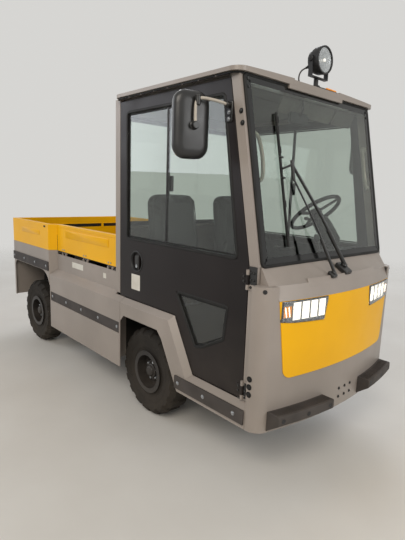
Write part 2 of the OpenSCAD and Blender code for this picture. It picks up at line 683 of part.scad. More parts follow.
// Inside the cab
dash_back = apron_back - 20;
dash_y = door_y - pillar - 4;
dash_top = belt - 18;
console_in = 100;
wheel_x = apron_back - 350;
wheel_y = seat_y + 50;
wheel_z = belt + 232;
wheel_tilt = 40;
rim_bar = 13;
module dash_shape() {
  front = dash_back - 130;
  xz([[front, dash_top - 110], [front + 8, dash_top - 30], [front + 30, dash_top - 12], [dash_back, dash_top],
    [dash_back, dash_top - 140]], -dash_y, dash_y);
  xz([[dash_back - 90, foot_floor], [dash_back - 70, dash_top - 100], [dash_back, dash_top - 100],
    [dash_back, foot_floor]], -console_in, dash_y);
  xz([[front - 30, dash_top - 50], [front - 6, dash_top + 34], [front + 16, dash_top + 40],
    [dash_back - 30, dash_top - 10], [front + 40, dash_top - 60]], wheel_y - 170, wheel_y + 170);
}
module dashboard() color(dark) from_axle() dash_shape();
module at_wheel() translate([wheel_x, wheel_y, wheel_z]) rotate([0, -wheel_tilt, 0]) children();
column_r = 26;
shaft_r = 9;
module steering_column() color(dark) from_axle() difference() {
  at_wheel() {
    translate([0, 0, -420]) cylinder(r = column_r, h = 400, $fn = 32);
    translate([0, 0, -21]) cylinder(r = shaft_r, h = 20, $fn = 32);
    translate([0, 0, -60]) cylinder(r = 38, h = 34, $fn = 32);
  }
  dash_shape();
}
module steering_wheel() color(dark) from_axle() at_wheel() {
  rotate_extrude($fn = 64) translate([wheel_r, 0]) circle(r = rim_bar, $fn = 24);
  translate([0, 0, -18]) difference() {
    cylinder(r = 42, h = 30, $fn = 48);
    translate([0, 0, -1]) cylinder(r = shaft_r + pin_gap, h = 21, $fn = 32);
  }
  for (a = [25, 155, 270]) rotate([0, 0, a]) translate([30, -12, -6]) cube([wheel_r - 34, 24, 10]);
}
// A seat: box, cushion with a round front edge, and a backrest that leans back
cushion_l = 480;
cushion_w = 440;
cushion_t = 110;
cushion_z = seat_floor + 90;
seat_back_x = -90;
back_h = 560;
back_t = 90;
back_lean = 9;
module seat() {
  cushion_r = cushion_t / 2;
  block(seat_back_x + 30, seat_back_x + cushion_l - 190, -cushion_w / 2 + 50, cushion_w / 2 - 50, seat_floor,
    cushion_z + join);
  block(seat_back_x, seat_back_x + cushion_l - cushion_r, -cushion_w / 2, cushion_w / 2, cushion_z, cushion_z + cushion_t);
  translate([seat_back_x + cushion_l - cushion_r, 0, cushion_z + cushion_r]) y_rod(cushion_r, -cushion_w / 2, cushion_w / 2);
  translate([seat_back_x + back_t / 2, 0, cushion_z + cushion_t / 2]) rotate([0, -back_lean, 0]) {
    block(-back_t / 2, back_t / 2, -cushion_w / 2, cushion_w / 2, 0, back_h - back_t / 2);
    translate([0, 0, back_h - back_t / 2]) y_rod(back_t / 2, -cushion_w / 2, cushion_w / 2);
  }
}
module seat_right() color(dark) from_axle() translate([0, -seat_y, 0]) seat();
module seat_left() color(dark) from_axle() translate([0, seat_y, 0]) seat();
module pedals() color(rubber_black) from_axle() for (y = [wheel_y - 120, wheel_y + 60])
  xz([[dash_back - 150, foot_floor], [dash_back - 130, foot_floor], [dash_back - 95, foot_floor + 150],
    [dash_back - 115, foot_floor + 150]], y, y + 70);

// Wiper: motor cover, two parallel arms and the blade, in the windscreen's own frame
wiper_x = glass_t + 20;
arm_foot = [wiper_x, 95, -38];
arm_tip = [wiper_x, -303, 506];
rod_foot = [wiper_x, -10, -25];
rod_tip = [wiper_x, -307, 442];
blade_y = -383;
blade_low = 82;
blade_high = screen_h - 110;
module wiper() color(dark) from_axle() on_screen() {
  block(glass_t + seat_gap, wiper_x + 8, -45, 122, cover_top - belt + 4, -10);
  rod(arm_foot, arm_tip, 8);
  rod(rod_foot, rod_tip, 5);
  rod(rod_tip - [0, -6, 20], arm_tip + [0, -10, 20], 9);
  rod(arm_tip, [wiper_x - 6, blade_y, arm_tip[2] - 24], 6);
  block(glass_t + seat_gap, wiper_x, blade_y - 9, blade_y + 3, blade_low, blade_high);
}
// Mirrors: a shell with a round-cornered rim, on a bent tube that leaves the door's stile
mirror_x = lean_x(door_front, door_top) - 89;
mirror_z = door_top - 235;
mirror_turn = 20;
shell_t = 26;
shell_back = 14;
module at_mirror() translate([mirror_x, -door_y - mirror_out, mirror_z]) rotate([0, 0, mirror_turn]) children();
module mirror_head() at_mirror() {
  difference() {
    yz_shape(-shell_t / 2, shell_t / 2) round_rect(mirror_w, mirror_h, 52);
    yz_shape(-shell_t / 2 - join, -shell_t / 2 + 4) round_rect(mirror_w - 16, mirror_h - 16, 44);
  }
  yz_shape(shell_t / 2 - join, shell_t / 2 + shell_back) round_rect(mirror_w - 40, mirror_h - 40, 34);
}
module mirror_right() color(dark) from_axle() mirror_head();
module mirror_left() color(dark) from_axle() left() mirror_head();
module mirror_arm() {
  foot = [lean_x(door_front, mirror_z + 105) - 20, -door_y - 14, mirror_z + 105];
  bend = [mirror_x + 44, -door_y - mirror_out + 4, mirror_z + 116];
  back_face = shell_t / 2 + shell_back + seat_gap;
  socket = [mirror_x + (back_face + 16) * cos(mirror_turn), -door_y - mirror_out + (back_face + 16) * sin(mirror_turn),
    mirror_z - 4];
  block(foot[0] - 20, foot[0] + 20, -door_y - 10, -door_y, foot[2] - 78, foot[2] + 18);
  rod(foot + [0, 5, 0], foot - [0, 12, 0], 15);
  rod(foot, bend, tube_r);
  translate(bend) cylinder(r = tube_r + 4, h = 2 * tube_r + 8, center = true, $fn = 32);
  rod(bend, socket, tube_r);
  at_mirror() translate([0, 0, -4]) x_rod(17, back_face, back_face + 26);
}
module mirror_arm_right() color("#c9c6bd") from_axle() mirror_arm();
module mirror_arm_left() color("#c9c6bd") from_axle() left() mirror_arm();

// Work light on the roof: a drum with a stepped back, in a yoke on a post
light_r = light_d / 2;
light_x = lean_x(front_post, roof_z) + 76;
light_z = roof_z + roof_t + 55 + light_r;
light_post_x = roof_front - 20;
yoke_t = 6;
module work_light() color(dark) from_axle() translate([light_x, 0, light_z]) {
  rotate([0, 90, 0]) rotate_extrude($fn = 64) polygon([[0, -light_t * 0.62], [light_r * 0.4, -light_t * 0.62],
    [light_r * 0.8, -light_t * 0.4], [light_r * 0.97, -light_t * 0.1], [light_r * 0.97, light_t * 0.2],
    [light_r, light_t * 0.2], [light_r, light_t * 0.38], [light_r - 6, light_t * 0.38], [light_r - 6, light_t * 0.3],
    [0, light_t * 0.3]]);
  for (s = [-1, 1]) block(-14, 10, s > 0 ? light_r - 3 : -light_r - yoke_t, s > 0 ? light_r + yoke_t : -light_r + 3,
    -light_r - 12, 14);
  block(-14, 10, -light_r - yoke_t, light_r + yoke_t, -light_r - 12 - yoke_t, -light_r - 12);
  translate([light_post_x - light_x, 0, notch_z - light_z]) {
    cylinder(r = 13, h = light_z - notch_z - light_r - 13, $fn = 32);
    block(-17, 17, -9, 84, 0, 6);
  }
}
cable_r = 4;
// Route of the cable, from the roof's top under the middle of the lamp
cable_route = [[-42.4, -41.2, 97.9], [-50.6, -45.6, 94.5], [-58.9, -53.5, 89], [-66.4, -64.5, 79.5],
  [-71.4, -74.5, 64.5], [-72.9, -80.5, 46], [-70.9, -83, 27], [-63.9, -83.3, 10], [-63.4, -83.3, 0.1]];
cable_pts = [for (p = cable_route) p + [light_x, 0, roof_z + roof_t]];
function ring_frame(i) = let (a = cable_pts[max(0, i - 1)], b = cable_pts[min(len(cable_pts) - 1, i + 1)],
  t = (b - a) / norm(b - a), u = cross(t, [1, 0, 0]), v = u / norm(u)) [v, cross(t, v)];
module light_cable() color(rubber_black) from_axle() {
  sides = 8;
  n = len(cable_pts);
  pts = [for (i = [0:n - 1]) for (k = [0:sides - 1]) let (f = ring_frame(i))
    cable_pts[i] + cable_r * (cos(360 * k / sides) * f[0] + sin(360 * k / sides) * f[1])];
  walls = [for (i = [0:n - 2]) for (k = [0:sides - 1]) [i * sides + (k + 1) % sides, i * sides + k,
    (i + 1) * sides + k, (i + 1) * sides + (k + 1) % sides]];
  polyhedron(pts, concat(walls, [[for (k = [0:sides - 1]) k]],
    [[for (k = [0:sides - 1]) n * sides - 1 - k]]));
}
lamp_block_t = 14;
module rear_lamps() color("#a3161c") from_axle() both() difference() {
  block(rear_x - lamp_block_t, rear_x, -half_w + 30, -half_w + 110, ledge_low + 60, ledge_low + 190);
  for (z = [ledge_low + 100, ledge_low + 144])
    block(rear_x - lamp_block_t - join, rear_x - lamp_block_t + 4, -half_w + 29, -half_w + 111, z, z + 4);
}

// Hitch
jaw_reach = 45;
jaw_x = rear_x - hitch_reach + jaw_reach;
jaw_w = 130;
jaw_t = 24;
module hitch() color(dark) from_axle() difference() {
  union() {
    block(rear_x - 20, rear_x, -90, 90, hitch_z - 110, hitch_z + 110);
    for (z = [hitch_z - jaw_gap / 2 - jaw_t, hitch_z + jaw_gap / 2]) {
      block(jaw_x, rear_x - 20 + join, -jaw_w / 2, jaw_w / 2, z, z + jaw_t);
      translate([jaw_x, 0, z]) cylinder(r = jaw_reach, h = jaw_t, $fn = 48);
    }
  }
  translate([jaw_x, 0, hitch_z - 200]) cylinder(r = hitch_pin_r + pin_gap, h = 400, $fn = 48);
}
module hitch_pin() color("#8d8f92") from_axle() translate([jaw_x, 0, 0]) {
  collar_z = hitch_z + jaw_gap / 2 + jaw_t + seat_gap;
  translate([0, 0, hitch_z - jaw_gap / 2 - jaw_t]) cylinder(r = hitch_pin_r, h = jaw_gap + 2 * jaw_t + 31, $fn = 48);
  translate([0, 0, collar_z]) cylinder(r = hitch_pin_r + 11, h = 12, $fn = 48);
  translate([0, 0, collar_z + 30]) rotate([90, 0, 0]) rotate_extrude($fn = 48) translate([20, 0]) circle(r = 5, $fn = 24);
}

// Axles, knuckles and wheels
hub_in = tyre_in_y + 20;
spring_half = 300;
spring_w = rail_w - 10;
spring_z = rear_rail_low - axle_z - 60;
module rear_axle() color(dark) from_axle() translate([-wheelbase, 0, axle_z]) {
  y_rod(52, -hub_in + 20, hub_in - 20);
  both() {
    block(-45, 45, -rear_rail_out + 5, -rear_rail_out + 5 + spring_w, 0, spring_z + join);
    for (leaf = [[1, 0], [0.75, 1], [0.5, 2]]) block(-spring_half * leaf[0], spring_half * leaf[0],
      -rear_rail_out + 5, -rear_rail_out + 5 + spring_w, spring_z + 20 - 10 * leaf[1], spring_z + 30 - 10 * leaf[1] + 0.5);
    for (x = [-spring_half, spring_half - 20]) block(x, x + 20, -rear_rail_out + 5, -rear_rail_out + 5 + spring_w,
      spring_z + 20, rear_rail_low - axle_z);
    y_rod(spindle_r, -track / 2 - 30, -hub_in + 30);
  }
  sphere(r = 130, $fn = 48);
}
boss_h = 90;
axle_drop = 80;
module front_axle() color(dark) from_axle() difference() {
  union() {
    block(-45, 45, -kingpin_y + 70, kingpin_y - 70, front_rail_low - axle_drop, front_rail_low);
    both() {
      block(-34, 34, -kingpin_y, -kingpin_y + 80, axle_z - 36, axle_z + 36);
      translate([0, -kingpin_y, axle_z - boss_h / 2]) cylinder(r = 34, h = boss_h, $fn = 48);
    }
  }
  both() translate([0, -kingpin_y, axle_z - boss_h]) cylinder(r = kingpin_r + pin_gap, h = 2 * boss_h, $fn = 48);
}
fork_t = 20;
module knuckle() translate([0, 0, axle_z]) {
  low = -boss_h / 2 - fork_t - seat_gap;
  translate([0, -kingpin_y, low]) cylinder(r = kingpin_r, h = -2 * low, $fn = 48);
  for (z = [low, boss_h / 2 + seat_gap]) {
    translate([0, -kingpin_y, z]) cylinder(r = 32, h = fork_t, $fn = 48);
    block(-30, 30, -kingpin_y - 62, -kingpin_y, z, z + fork_t);
  }
  block(-30, 30, -kingpin_y - 62, -kingpin_y - 38, low, -low);
  y_rod(spindle_r, -track / 2 - 30, -kingpin_y - 50);
}
module knuckle_right() color(dark) from_axle() knuckle();
module knuckle_left() color(dark) from_axle() left() knuckle();

seat_r = rim_d / 2;
// Outline of the tread seen from the side: lugs with slanted flanks around a groove circle
pitch = 360 / lugs;
tread = [for (i = [0:lugs - 1]) for (p = [[0, -lug_depth], [0.07, 0], [0.55, 0], [0.62, -lug_depth]])
  (tyre_r + p[1]) * [cos(pitch * (i + p[0])), sin(pitch * (i + p[0]))]];
shoulder = 30;
wall_sides = 30;
// Half of a tyre, from its middle outwards along z: tread, shoulder and a dished side wall
module half_tyre() difference() {
  union() {
    linear_extrude(tyre_w / 2 - shoulder) polygon(tread);
    translate([0, 0, tyre_w / 2 - shoulder]) linear_extrude(shoulder, scale = 0.9) polygon(tread);
  }
  translate([0, 0, tyre_w / 2 - 20]) linear_extrude(20 + join, scale = 1.6)
    polygon([for (i = [0:wall_sides - 1]) (seat_r + flange_h + 10) * [cos(360 * i / wall_sides), sin(360 * i / wall_sides)]]);
}
module tyre() difference() {
  rotate([90, 0, 0]) {
    half_tyre();
    rotate([180, 0, pitch / 2]) half_tyre();
  }
  y_rod(seat_r, -tyre_w, tyre_w);
}
bead_y = tyre_w / 2 - 20;
rim_lip = 3;
rim_wall = 14;
disc_t = 10;
hand_holes = 6;
module rim() difference() {
  union() {
    rotate([90, 0, 0]) rotate_extrude($fn = 64) polygon([[seat_r - rim_wall, -bead_y - 16],
      [seat_r + flange_h, -bead_y - 16], [seat_r + flange_h, -bead_y - 16 + rim_lip], [seat_r - seat_gap, -bead_y - 4],
      [seat_r - seat_gap, bead_y + 4], [seat_r + flange_h, bead_y + 16 - rim_lip], [seat_r + flange_h, bead_y + 16],
      [seat_r - rim_wall, bead_y + 16]]);
    rotate([90, 0, 0]) rotate_extrude($fn = 64) polygon([[10, 24], [62, 24], [86, 2], [seat_r - rim_wall + join, 2],
      [seat_r - rim_wall + join, 2 + disc_t], [90, 2 + disc_t], [66, 24 + disc_t], [10, 24 + disc_t]]);
    rotate([90, 0, 0]) translate([0, 0, -20]) cylinder(r = 48, h = 70, $fn = 48);
  }
  rotate([90, 0, 0]) translate([0, 0, -tyre_w / 2]) cylinder(r = spindle_r + pin_gap, h = tyre_w / 2 + 31, $fn = 48);
  for (i = [0:hand_holes - 1]) rotate([0, i * 360 / hand_holes, 0]) translate([seat_r - 28, 0, 0]) y_rod(9, -tyre_w / 2, 0);
}
module at_wheel_right(x) translate([x, -track / 2, axle_z]) children();
module tyre_front_right() color(rubber_black) from_axle() at_wheel_right(0) tyre();
module tyre_front_left() color(rubber_black) from_axle() left() at_wheel_right(0) tyre();
module tyre_rear_right() color(rubber_black) from_axle() at_wheel_right(-wheelbase) tyre();
module tyre_rear_left() color(rubber_black) from_axle() left() at_wheel_right(-wheelbase) tyre();
module rim_front_right() color(dark) from_axle() at_wheel_right(0) rim();
module rim_front_left() color(dark) from_axle() left() at_wheel_right(0) rim();
module rim_rear_right() color(dark) from_axle() at_wheel_right(-wheelbase) rim();
module rim_rear_left() color(dark) from_axle() left() at_wheel_right(-wheelbase) rim();

chassis_frame();
front_frame();
rear_frame();
cab_floor();
deck_floor();
battery();
rear_body();
rear_boards();
side_board_right();
side_board_left();
pod_right();
pod_left();
fender_right();
fender_left();
side_strips();
front_apron();
front_cover();
front_panel();
headlamps();
step_blocks();
cab_frame();
cab_roof();
scuttle();
windscreen();
rear_window();
door_right();
door_left();
door_glass_right();
door_glass_left();
dashboard();
steering_column();
steering_wheel();
seat_right();
seat_left();
pedals();
wiper();
mirror_right();
mirror_left();
mirror_arm_right();
mirror_arm_left();
work_light();
light_cable();
rear_lamps();
hitch();
hitch_pin();
rear_axle();
front_axle();
knuckle_right();
knuckle_left();
tyre_front_right();
tyre_front_left();
tyre_rear_right();
tyre_rear_left();
rim_front_right();
rim_front_left();
rim_rear_right();
rim_rear_left();
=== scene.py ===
"""Looks of the airport baggage tug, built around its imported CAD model."""

import json
from math import atan2, copysign, cos, pi, radians, sin, sqrt, tan

import bmesh
import bpy
from bpy.props import FloatProperty, FloatVectorProperty, IntProperty, PointerProperty, StringProperty
from bpy.types import Operator, Panel, PropertyGroup
from mathutils import Matrix, Vector
from mathutils.bvhtree import BVHTree


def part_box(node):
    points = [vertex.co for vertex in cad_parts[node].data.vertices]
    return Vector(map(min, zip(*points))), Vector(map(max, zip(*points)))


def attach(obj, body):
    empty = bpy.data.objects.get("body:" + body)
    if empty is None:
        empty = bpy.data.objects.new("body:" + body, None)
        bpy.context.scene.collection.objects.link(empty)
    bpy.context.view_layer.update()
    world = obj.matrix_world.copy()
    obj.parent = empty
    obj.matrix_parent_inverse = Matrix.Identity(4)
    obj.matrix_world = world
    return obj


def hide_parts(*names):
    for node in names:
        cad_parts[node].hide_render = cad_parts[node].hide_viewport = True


bl_info = {
    "name": "Airport baggage tug",
    "version": (1, 0, 0),
    "blender": (4, 5, 0),
    "location": "View3D > Sidebar > Tug",
    "description": "Dresses the packed model of an airport baggage tug",
    "category": "Object",
}

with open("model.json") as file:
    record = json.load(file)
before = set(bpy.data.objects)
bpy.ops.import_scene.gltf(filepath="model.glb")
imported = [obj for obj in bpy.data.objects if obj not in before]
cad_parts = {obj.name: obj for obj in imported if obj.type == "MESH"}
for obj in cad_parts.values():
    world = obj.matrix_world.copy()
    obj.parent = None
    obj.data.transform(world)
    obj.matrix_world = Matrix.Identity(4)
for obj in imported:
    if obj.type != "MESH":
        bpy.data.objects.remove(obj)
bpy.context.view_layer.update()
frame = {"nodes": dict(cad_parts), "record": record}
NODES = frame["nodes"]
MM = 0.001
AHEAD, BACK, UP, DOWN = Vector((1, 0, 0)), Vector((-1, 0, 0)), Vector((0, 0, 1)), Vector((0, 0, -1))
SIDES = {-1: "right", 1: "left"}

# The front axle: places along the tug are counted from it
AXLE = sum(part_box("rim_front_right"), Vector()).x / 2

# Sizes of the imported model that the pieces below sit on, in millimetres
HALF_W = 650
DOOR_Y = 612
DECK_Y = 588
DECK_TOP = 940
REAR_X = -2255
BOW_X = -1395
BOW_R = 2500
BELT = 1158
SCREEN_FOOT = 950.3
SCREEN_HALF = 590
LEAN = radians(11.4)
GLASS_T = 6
PANEL_TOP = 1000
AXLE_Z = 295
WHEELBASE = 1870
WHEEL_Y = 500
# The ledge under the doors: its height behind, and how far its ridge lies ahead of the crease
LEDGE_Z, LEDGE_SHIFT = 769.4, 22
UPPER_PANE = ((-211, 1180), (810.6, 1180), (672.3, 1985), (-211, 1985))
LOWER_PANE = ((330, 920), (759, 920), (738, 733), (575, 645), (512, 630))


def at(x, y, z):
    """A point given in millimetres from the front axle, the middle of the tug and the floor."""
    return Vector((AXLE + x * MM, y * MM, z * MM))


def side_plane(side, start=0):
    """Places (x, height, out from a distance to the middle) on one side of the tug."""
    return lambda u, v, w: at(u, side * (start + w), v)


def screen_plane(u, v, w):
    """Places (across, up the windscreen, out of its inner face)."""
    return at(SCREEN_FOOT + w * cos(LEAN) - v * sin(LEAN), u, BELT + w * sin(LEAN) + v * cos(LEAN))


def bow_plane(u, v, w):
    """Places (across, height, out of the bowed front)."""
    return at(BOW_X + sqrt((BOW_R + w) ** 2 - u * u), u, v)


def cover_plane(u, v, w):
    """Places (across, height, out of the bowed cover, which leans back above the front panel)."""
    return bow_plane(u, v, w + 5 - (v - PANEL_TOP) * 0.42)


def across_plane(x):
    """Places (across, height, ahead of x)."""
    return lambda u, v, w: at(x + w, u, v)


# Shapes: outlines first, then what is added to a piece's mesh


def grown(points, by):
    """A closed outline moved outward by a distance."""
    count = len(points)
    area = sum(points[i - 1][0] * points[i][1] - points[i][0] * points[i - 1][1] for i in range(count))
    way = 1 if area > 0 else -1
    moved = []
    for i in range(count):
        here = Vector(points[i])
        come = (here - Vector(points[i - 1])).normalized()
        go = (Vector(points[(i + 1) % count]) - here).normalized()
        first, second = Vector((come.y, -come.x)) * way, Vector((go.y, -go.x)) * way
        moved.append(here + (first + second) * (by / (1 + first.dot(second))))
    return moved


def rounded(points, radius, steps=6):
    """A closed outline with its corners rounded."""
    out = []
    for i, point in enumerate(points):
        here = Vector(point)
        back, ahead = Vector(points[i - 1]) - here, Vector(points[(i + 1) % len(points)]) - here
        half = back.angle(ahead) / 2
        reach = min(radius / tan(half), 0.45 * min(back.length, ahead.length))
        back.normalize()
        ahead.normalize()
        centre = here + (back + ahead).normalized() * (reach / cos(half))
        start, end = here + back * reach - centre, here + ahead * reach - centre
        turn = atan2(start.x * end.y - start.y * end.x, start.dot(end))
        for k in range(steps + 1):
            c, s = cos(turn * k / steps), sin(turn * k / steps)
            out.append(centre + Vector((c * start.x - s * start.y, s * start.x + c * start.y)))
    return out


def oblong(u0, u1, v0, v1, radius=0):
    """A rectangle's outline, with its corners rounded where asked."""
    points = [(u0, v0), (u1, v0), (u1, v1), (u0, v1)]
    return rounded(points, radius) if radius else points


def circle(centre, side, other, radius, steps):
    """Points around a centre, in the plane of two directions."""
    angles = [2 * pi * k / steps for k in range(steps)]
    return [centre + (side * cos(a) + other * sin(a)) * radius * MM for a in angles]


def smooth_line(points, steps=6):
    """Points on a soft curve through a few given ones."""
    line = []
    for i in range(len(points) - 1):
        a, b = points[max(i - 1, 0)], points[i]
        c, d = points[i + 1], points[min(i + 2, len(points) - 1)]
        for k in range(steps):
            t = k / steps
            square, cube = 2 * a - 5 * b + 4 * c - d, 3 * b - a - 3 * c + d
            line.append(0.5 * (2 * b + (c - a) * t + square * t**2 + cube * t**3))
    return line + [points[-1]]


def loft(piece, rows, around=False):
    """Faces from row to row of points, closed at both ends or back to the first row; a pole is a row of one point."""
    rows = [[piece.verts.new(p) for p in row] for row in rows]
    for low, high in zip(rows, rows[1:] + rows[:1] if around else rows[1:]):
        for i in range(max(len(low), len(high))):
            corners = [low[i - 1], low[i]] if len(low) > 1 else [low[0]]
            piece.faces.new(corners + ([high[i], high[i - 1]] if len(high) > 1 else [high[0]]))
    for row in (rows[0], rows[-1]):
        if len(row) > 1 and not around:
            piece.faces.new(row)


def skin(piece, loops, place, closed=False, step=None):
    """A skin through loops of (outline, height); step cuts it across u, so that it can follow a bowed plane."""
    part = bmesh.new()
    loft(part, [[(p[0], p[1], height) for p in outline] for outline, height in loops], closed)
    if step:
        first, last = min(v.co.x for v in part.verts), max(v.co.x for v in part.verts)
        for i in range(1, int((last - first) / step)):
            geometry = part.verts[:] + part.edges[:] + part.faces[:]
            bmesh.ops.bisect_plane(part, geom=geometry, plane_co=(first + i * step, 0, 0), plane_no=(1, 0, 0))
    for v in part.verts:
        v.co = place(*v.co)
    mesh = bpy.data.meshes.new("part")
    part.to_mesh(mesh)
    part.free()
    piece.from_mesh(mesh)
    bpy.data.meshes.remove(mesh)


def slab(piece, outline, place, low, high, edge=1.5, step=None):
    """A flat piece with its outer edges eased, by less than half its thickness."""
    inner = grown(outline, -edge)
    way = copysign(min(edge, 0.45 * abs(high - low)), high - low)
    skin(piece, [(inner, low), (outline, low + way), (outline, high - way), (inner, high)], place, step=step)


def band(piece, outline, width, place, low, high, edge=1.5):
    """A band of a width inside an outline, with its upper edges eased."""
    inner = grown(outline, -width)
    loops = [(outline, low), (outline, high - edge), (grown(outline, -edge), high)]
    loops += [(grown(outline, edge - width), high), (inner, high - edge), (inner, low)]
    skin(piece, loops, place, closed=True)


def turned(piece, profile, start, aim, steps=24):
    """A turned form: (radius, distance along), in millimetres, revolved around a line from start along aim."""
    aim = Vector(aim).normalized()
    side = aim.orthogonal().normalized()
    other = aim.cross(side)
    rows = []
    for radius, along in profile:
        centre = start + aim * along * MM
        rows.append(circle(centre, side, other, radius, steps) if radius else [centre])
    loft(piece, rows, around=len(rows[0]) > 1 and len(rows[-1]) > 1)


def rod(piece, start, end, radius, steps=16):
    """A round bar between two points, with its ends eased."""
    long = (end - start).length / MM
    ease = min(radius * 0.2, long * 0.2)
    half = [(0, 0), (radius - ease, 0), (radius, ease)]
    turned(piece, half + [(r, long - along) for r, along in reversed(half)], start, end - start, steps)


def tube(piece, points, radius, steps=10):
    """A tube along a line of points."""
    rows, side = [], None
    for i, point in enumerate(points):
        along = (points[min(i + 1, len(points) - 1)] - points[max(i - 1, 0)]).normalized()
        side = along.orthogonal() if side is None else side - along * side.dot(along)
        side.normalize()
        rows.append(circle(point, side, along.cross(side), radius, steps))
    loft(piece, rows)


# Materials


def linear(hex_colour):
    """An sRGB hex colour as linear RGBA."""
    channels = [int(hex_colour[i : i + 2], 16) / 255 for i in (0, 2, 4)]
    return tuple(c / 12.92 if c <= 0.04045 else ((c + 0.055) / 1.055) ** 2.4 for c in channels) + (1.0,)


def node(tree, kind, links=(), **settings):
    """Adds a node of one kind with its settings, and links its inputs: (input, source socket or value)."""
    made = tree.nodes.new(kind)
    for name, value in settings.items():
        setattr(made, name, value)
    for name, value in links:
        if isinstance(value, bpy.types.NodeSocket):
            tree.links.new(value, made.inputs[name])
        else:
            made.inputs[name].default_value = value
    return made


def mottled(tree, place, scale, light, dark, low=0.3, high=0.7):
    """A colour that wanders between two tones in soft patches."""
    cloud = node(tree, "ShaderNodeTexNoise", [("Vector", place), ("Scale", scale), ("Detail", 6.0)])
    ramp = node(tree, "ShaderNodeValToRGB", [("Fac", cloud.outputs["Fac"])])
    for stop, position, tone in zip(ramp.color_ramp.elements, (low, high), (dark, light)):
        stop.position, stop.color = position, linear(tone)
    return ramp.outputs["Color"]


def grained(tree, place, shader, scale, strength, distance):
    """A fine raised grain, given to the shader's normal."""
    grain = node(tree, "ShaderNodeTexNoise", [("Vector", place), ("Scale", scale), ("Detail", 3.0)])
    links = [("Height", grain.outputs["Fac"]), ("Strength", strength), ("Distance", distance)]
    tree.links.new(node(tree, "ShaderNodeBump", links).outputs["Normal"], shader.inputs["Normal"])


def varied(tree, place, shader, scale, low, high):
    """Roughness that wanders between two values, as handled and dusty paint does."""
    cloud = node(tree, "ShaderNodeTexNoise", [("Vector", place), ("Scale", scale), ("Detail", 5.0)])
    links = [("Value", cloud.outputs["Fac"]), ("From Min", 0.3), ("From Max", 0.7), ("To Min", low), ("To Max", high)]
    spread = node(tree, "ShaderNodeMapRange", links)
    tree.links.new(spread.outputs["Result"], shader.inputs["Roughness"])


def floor_dust(tree, place, colour, dust, top, strength):
    """Road dust that settles on the lowest parts and thins out upwards, in metres above the floor."""
    height = node(tree, "ShaderNodeSeparateXYZ", [("Vector", place)]).outputs["Z"]
    links = [("Value", height), ("From Min", 0.05), ("From Max", top), ("To Min", strength), ("To Max", 0.0)]
    fade = node(tree, "ShaderNodeMapRange", links)
    cloud = node(tree, "ShaderNodeTexNoise", [("Vector", place), ("Scale", 9.0), ("Detail", 8.0)])
    links = [(0, fade.outputs["Result"]), (1, cloud.outputs["Fac"])]
    amount = node(tree, "ShaderNodeMath", links, operation="MULTIPLY")
    links = [("Factor", amount.outputs["Value"]), ("A", colour), ("B", linear(dust))]
    return node(tree, "ShaderNodeMix", links, data_type="RGBA").outputs["Result"]


SOCKETS = {
    "colour": "Base Color",
    "rough": "Roughness",
    "specular": "Specular IOR Level",
    "metal": "Metallic",
    "coat": "Coat Weight",
    "ior": "IOR",
    "clear": "Transmission Weight",
    "glow": "Emission Color",
    "glow_strength": "Emission Strength",
}
MATERIALS = {}


def finish(key, name, tones=None, rough=None, grain=None, dust=None, **values):
    """A material of two tones, wandering roughness, grain, dust low down and plain values; gives its tree's ends."""
    material = bpy.data.materials.new(name)
    material.use_nodes = True
    tree = material.node_tree
    shader = tree.nodes["Principled BSDF"]
    place = node(tree, "ShaderNodeTexCoord").outputs["Object"]
    if tones:
        colour = mottled(tree, place, *tones)
        if dust:
            colour = floor_dust(tree, place, colour, *dust)
        tree.links.new(colour, shader.inputs["Base Color"])
    if isinstance(rough, tuple):
        varied(tree, place, shader, *rough)
    elif rough is not None:
        values["rough"] = rough
    if grain:
        grained(tree, place, shader, *grain)
    for label, value in values.items():
        shader.inputs[SOCKETS[label]].default_value = linear(value) if isinstance(value, str) else value
    MATERIALS[key] = material
    return tree, shader, place


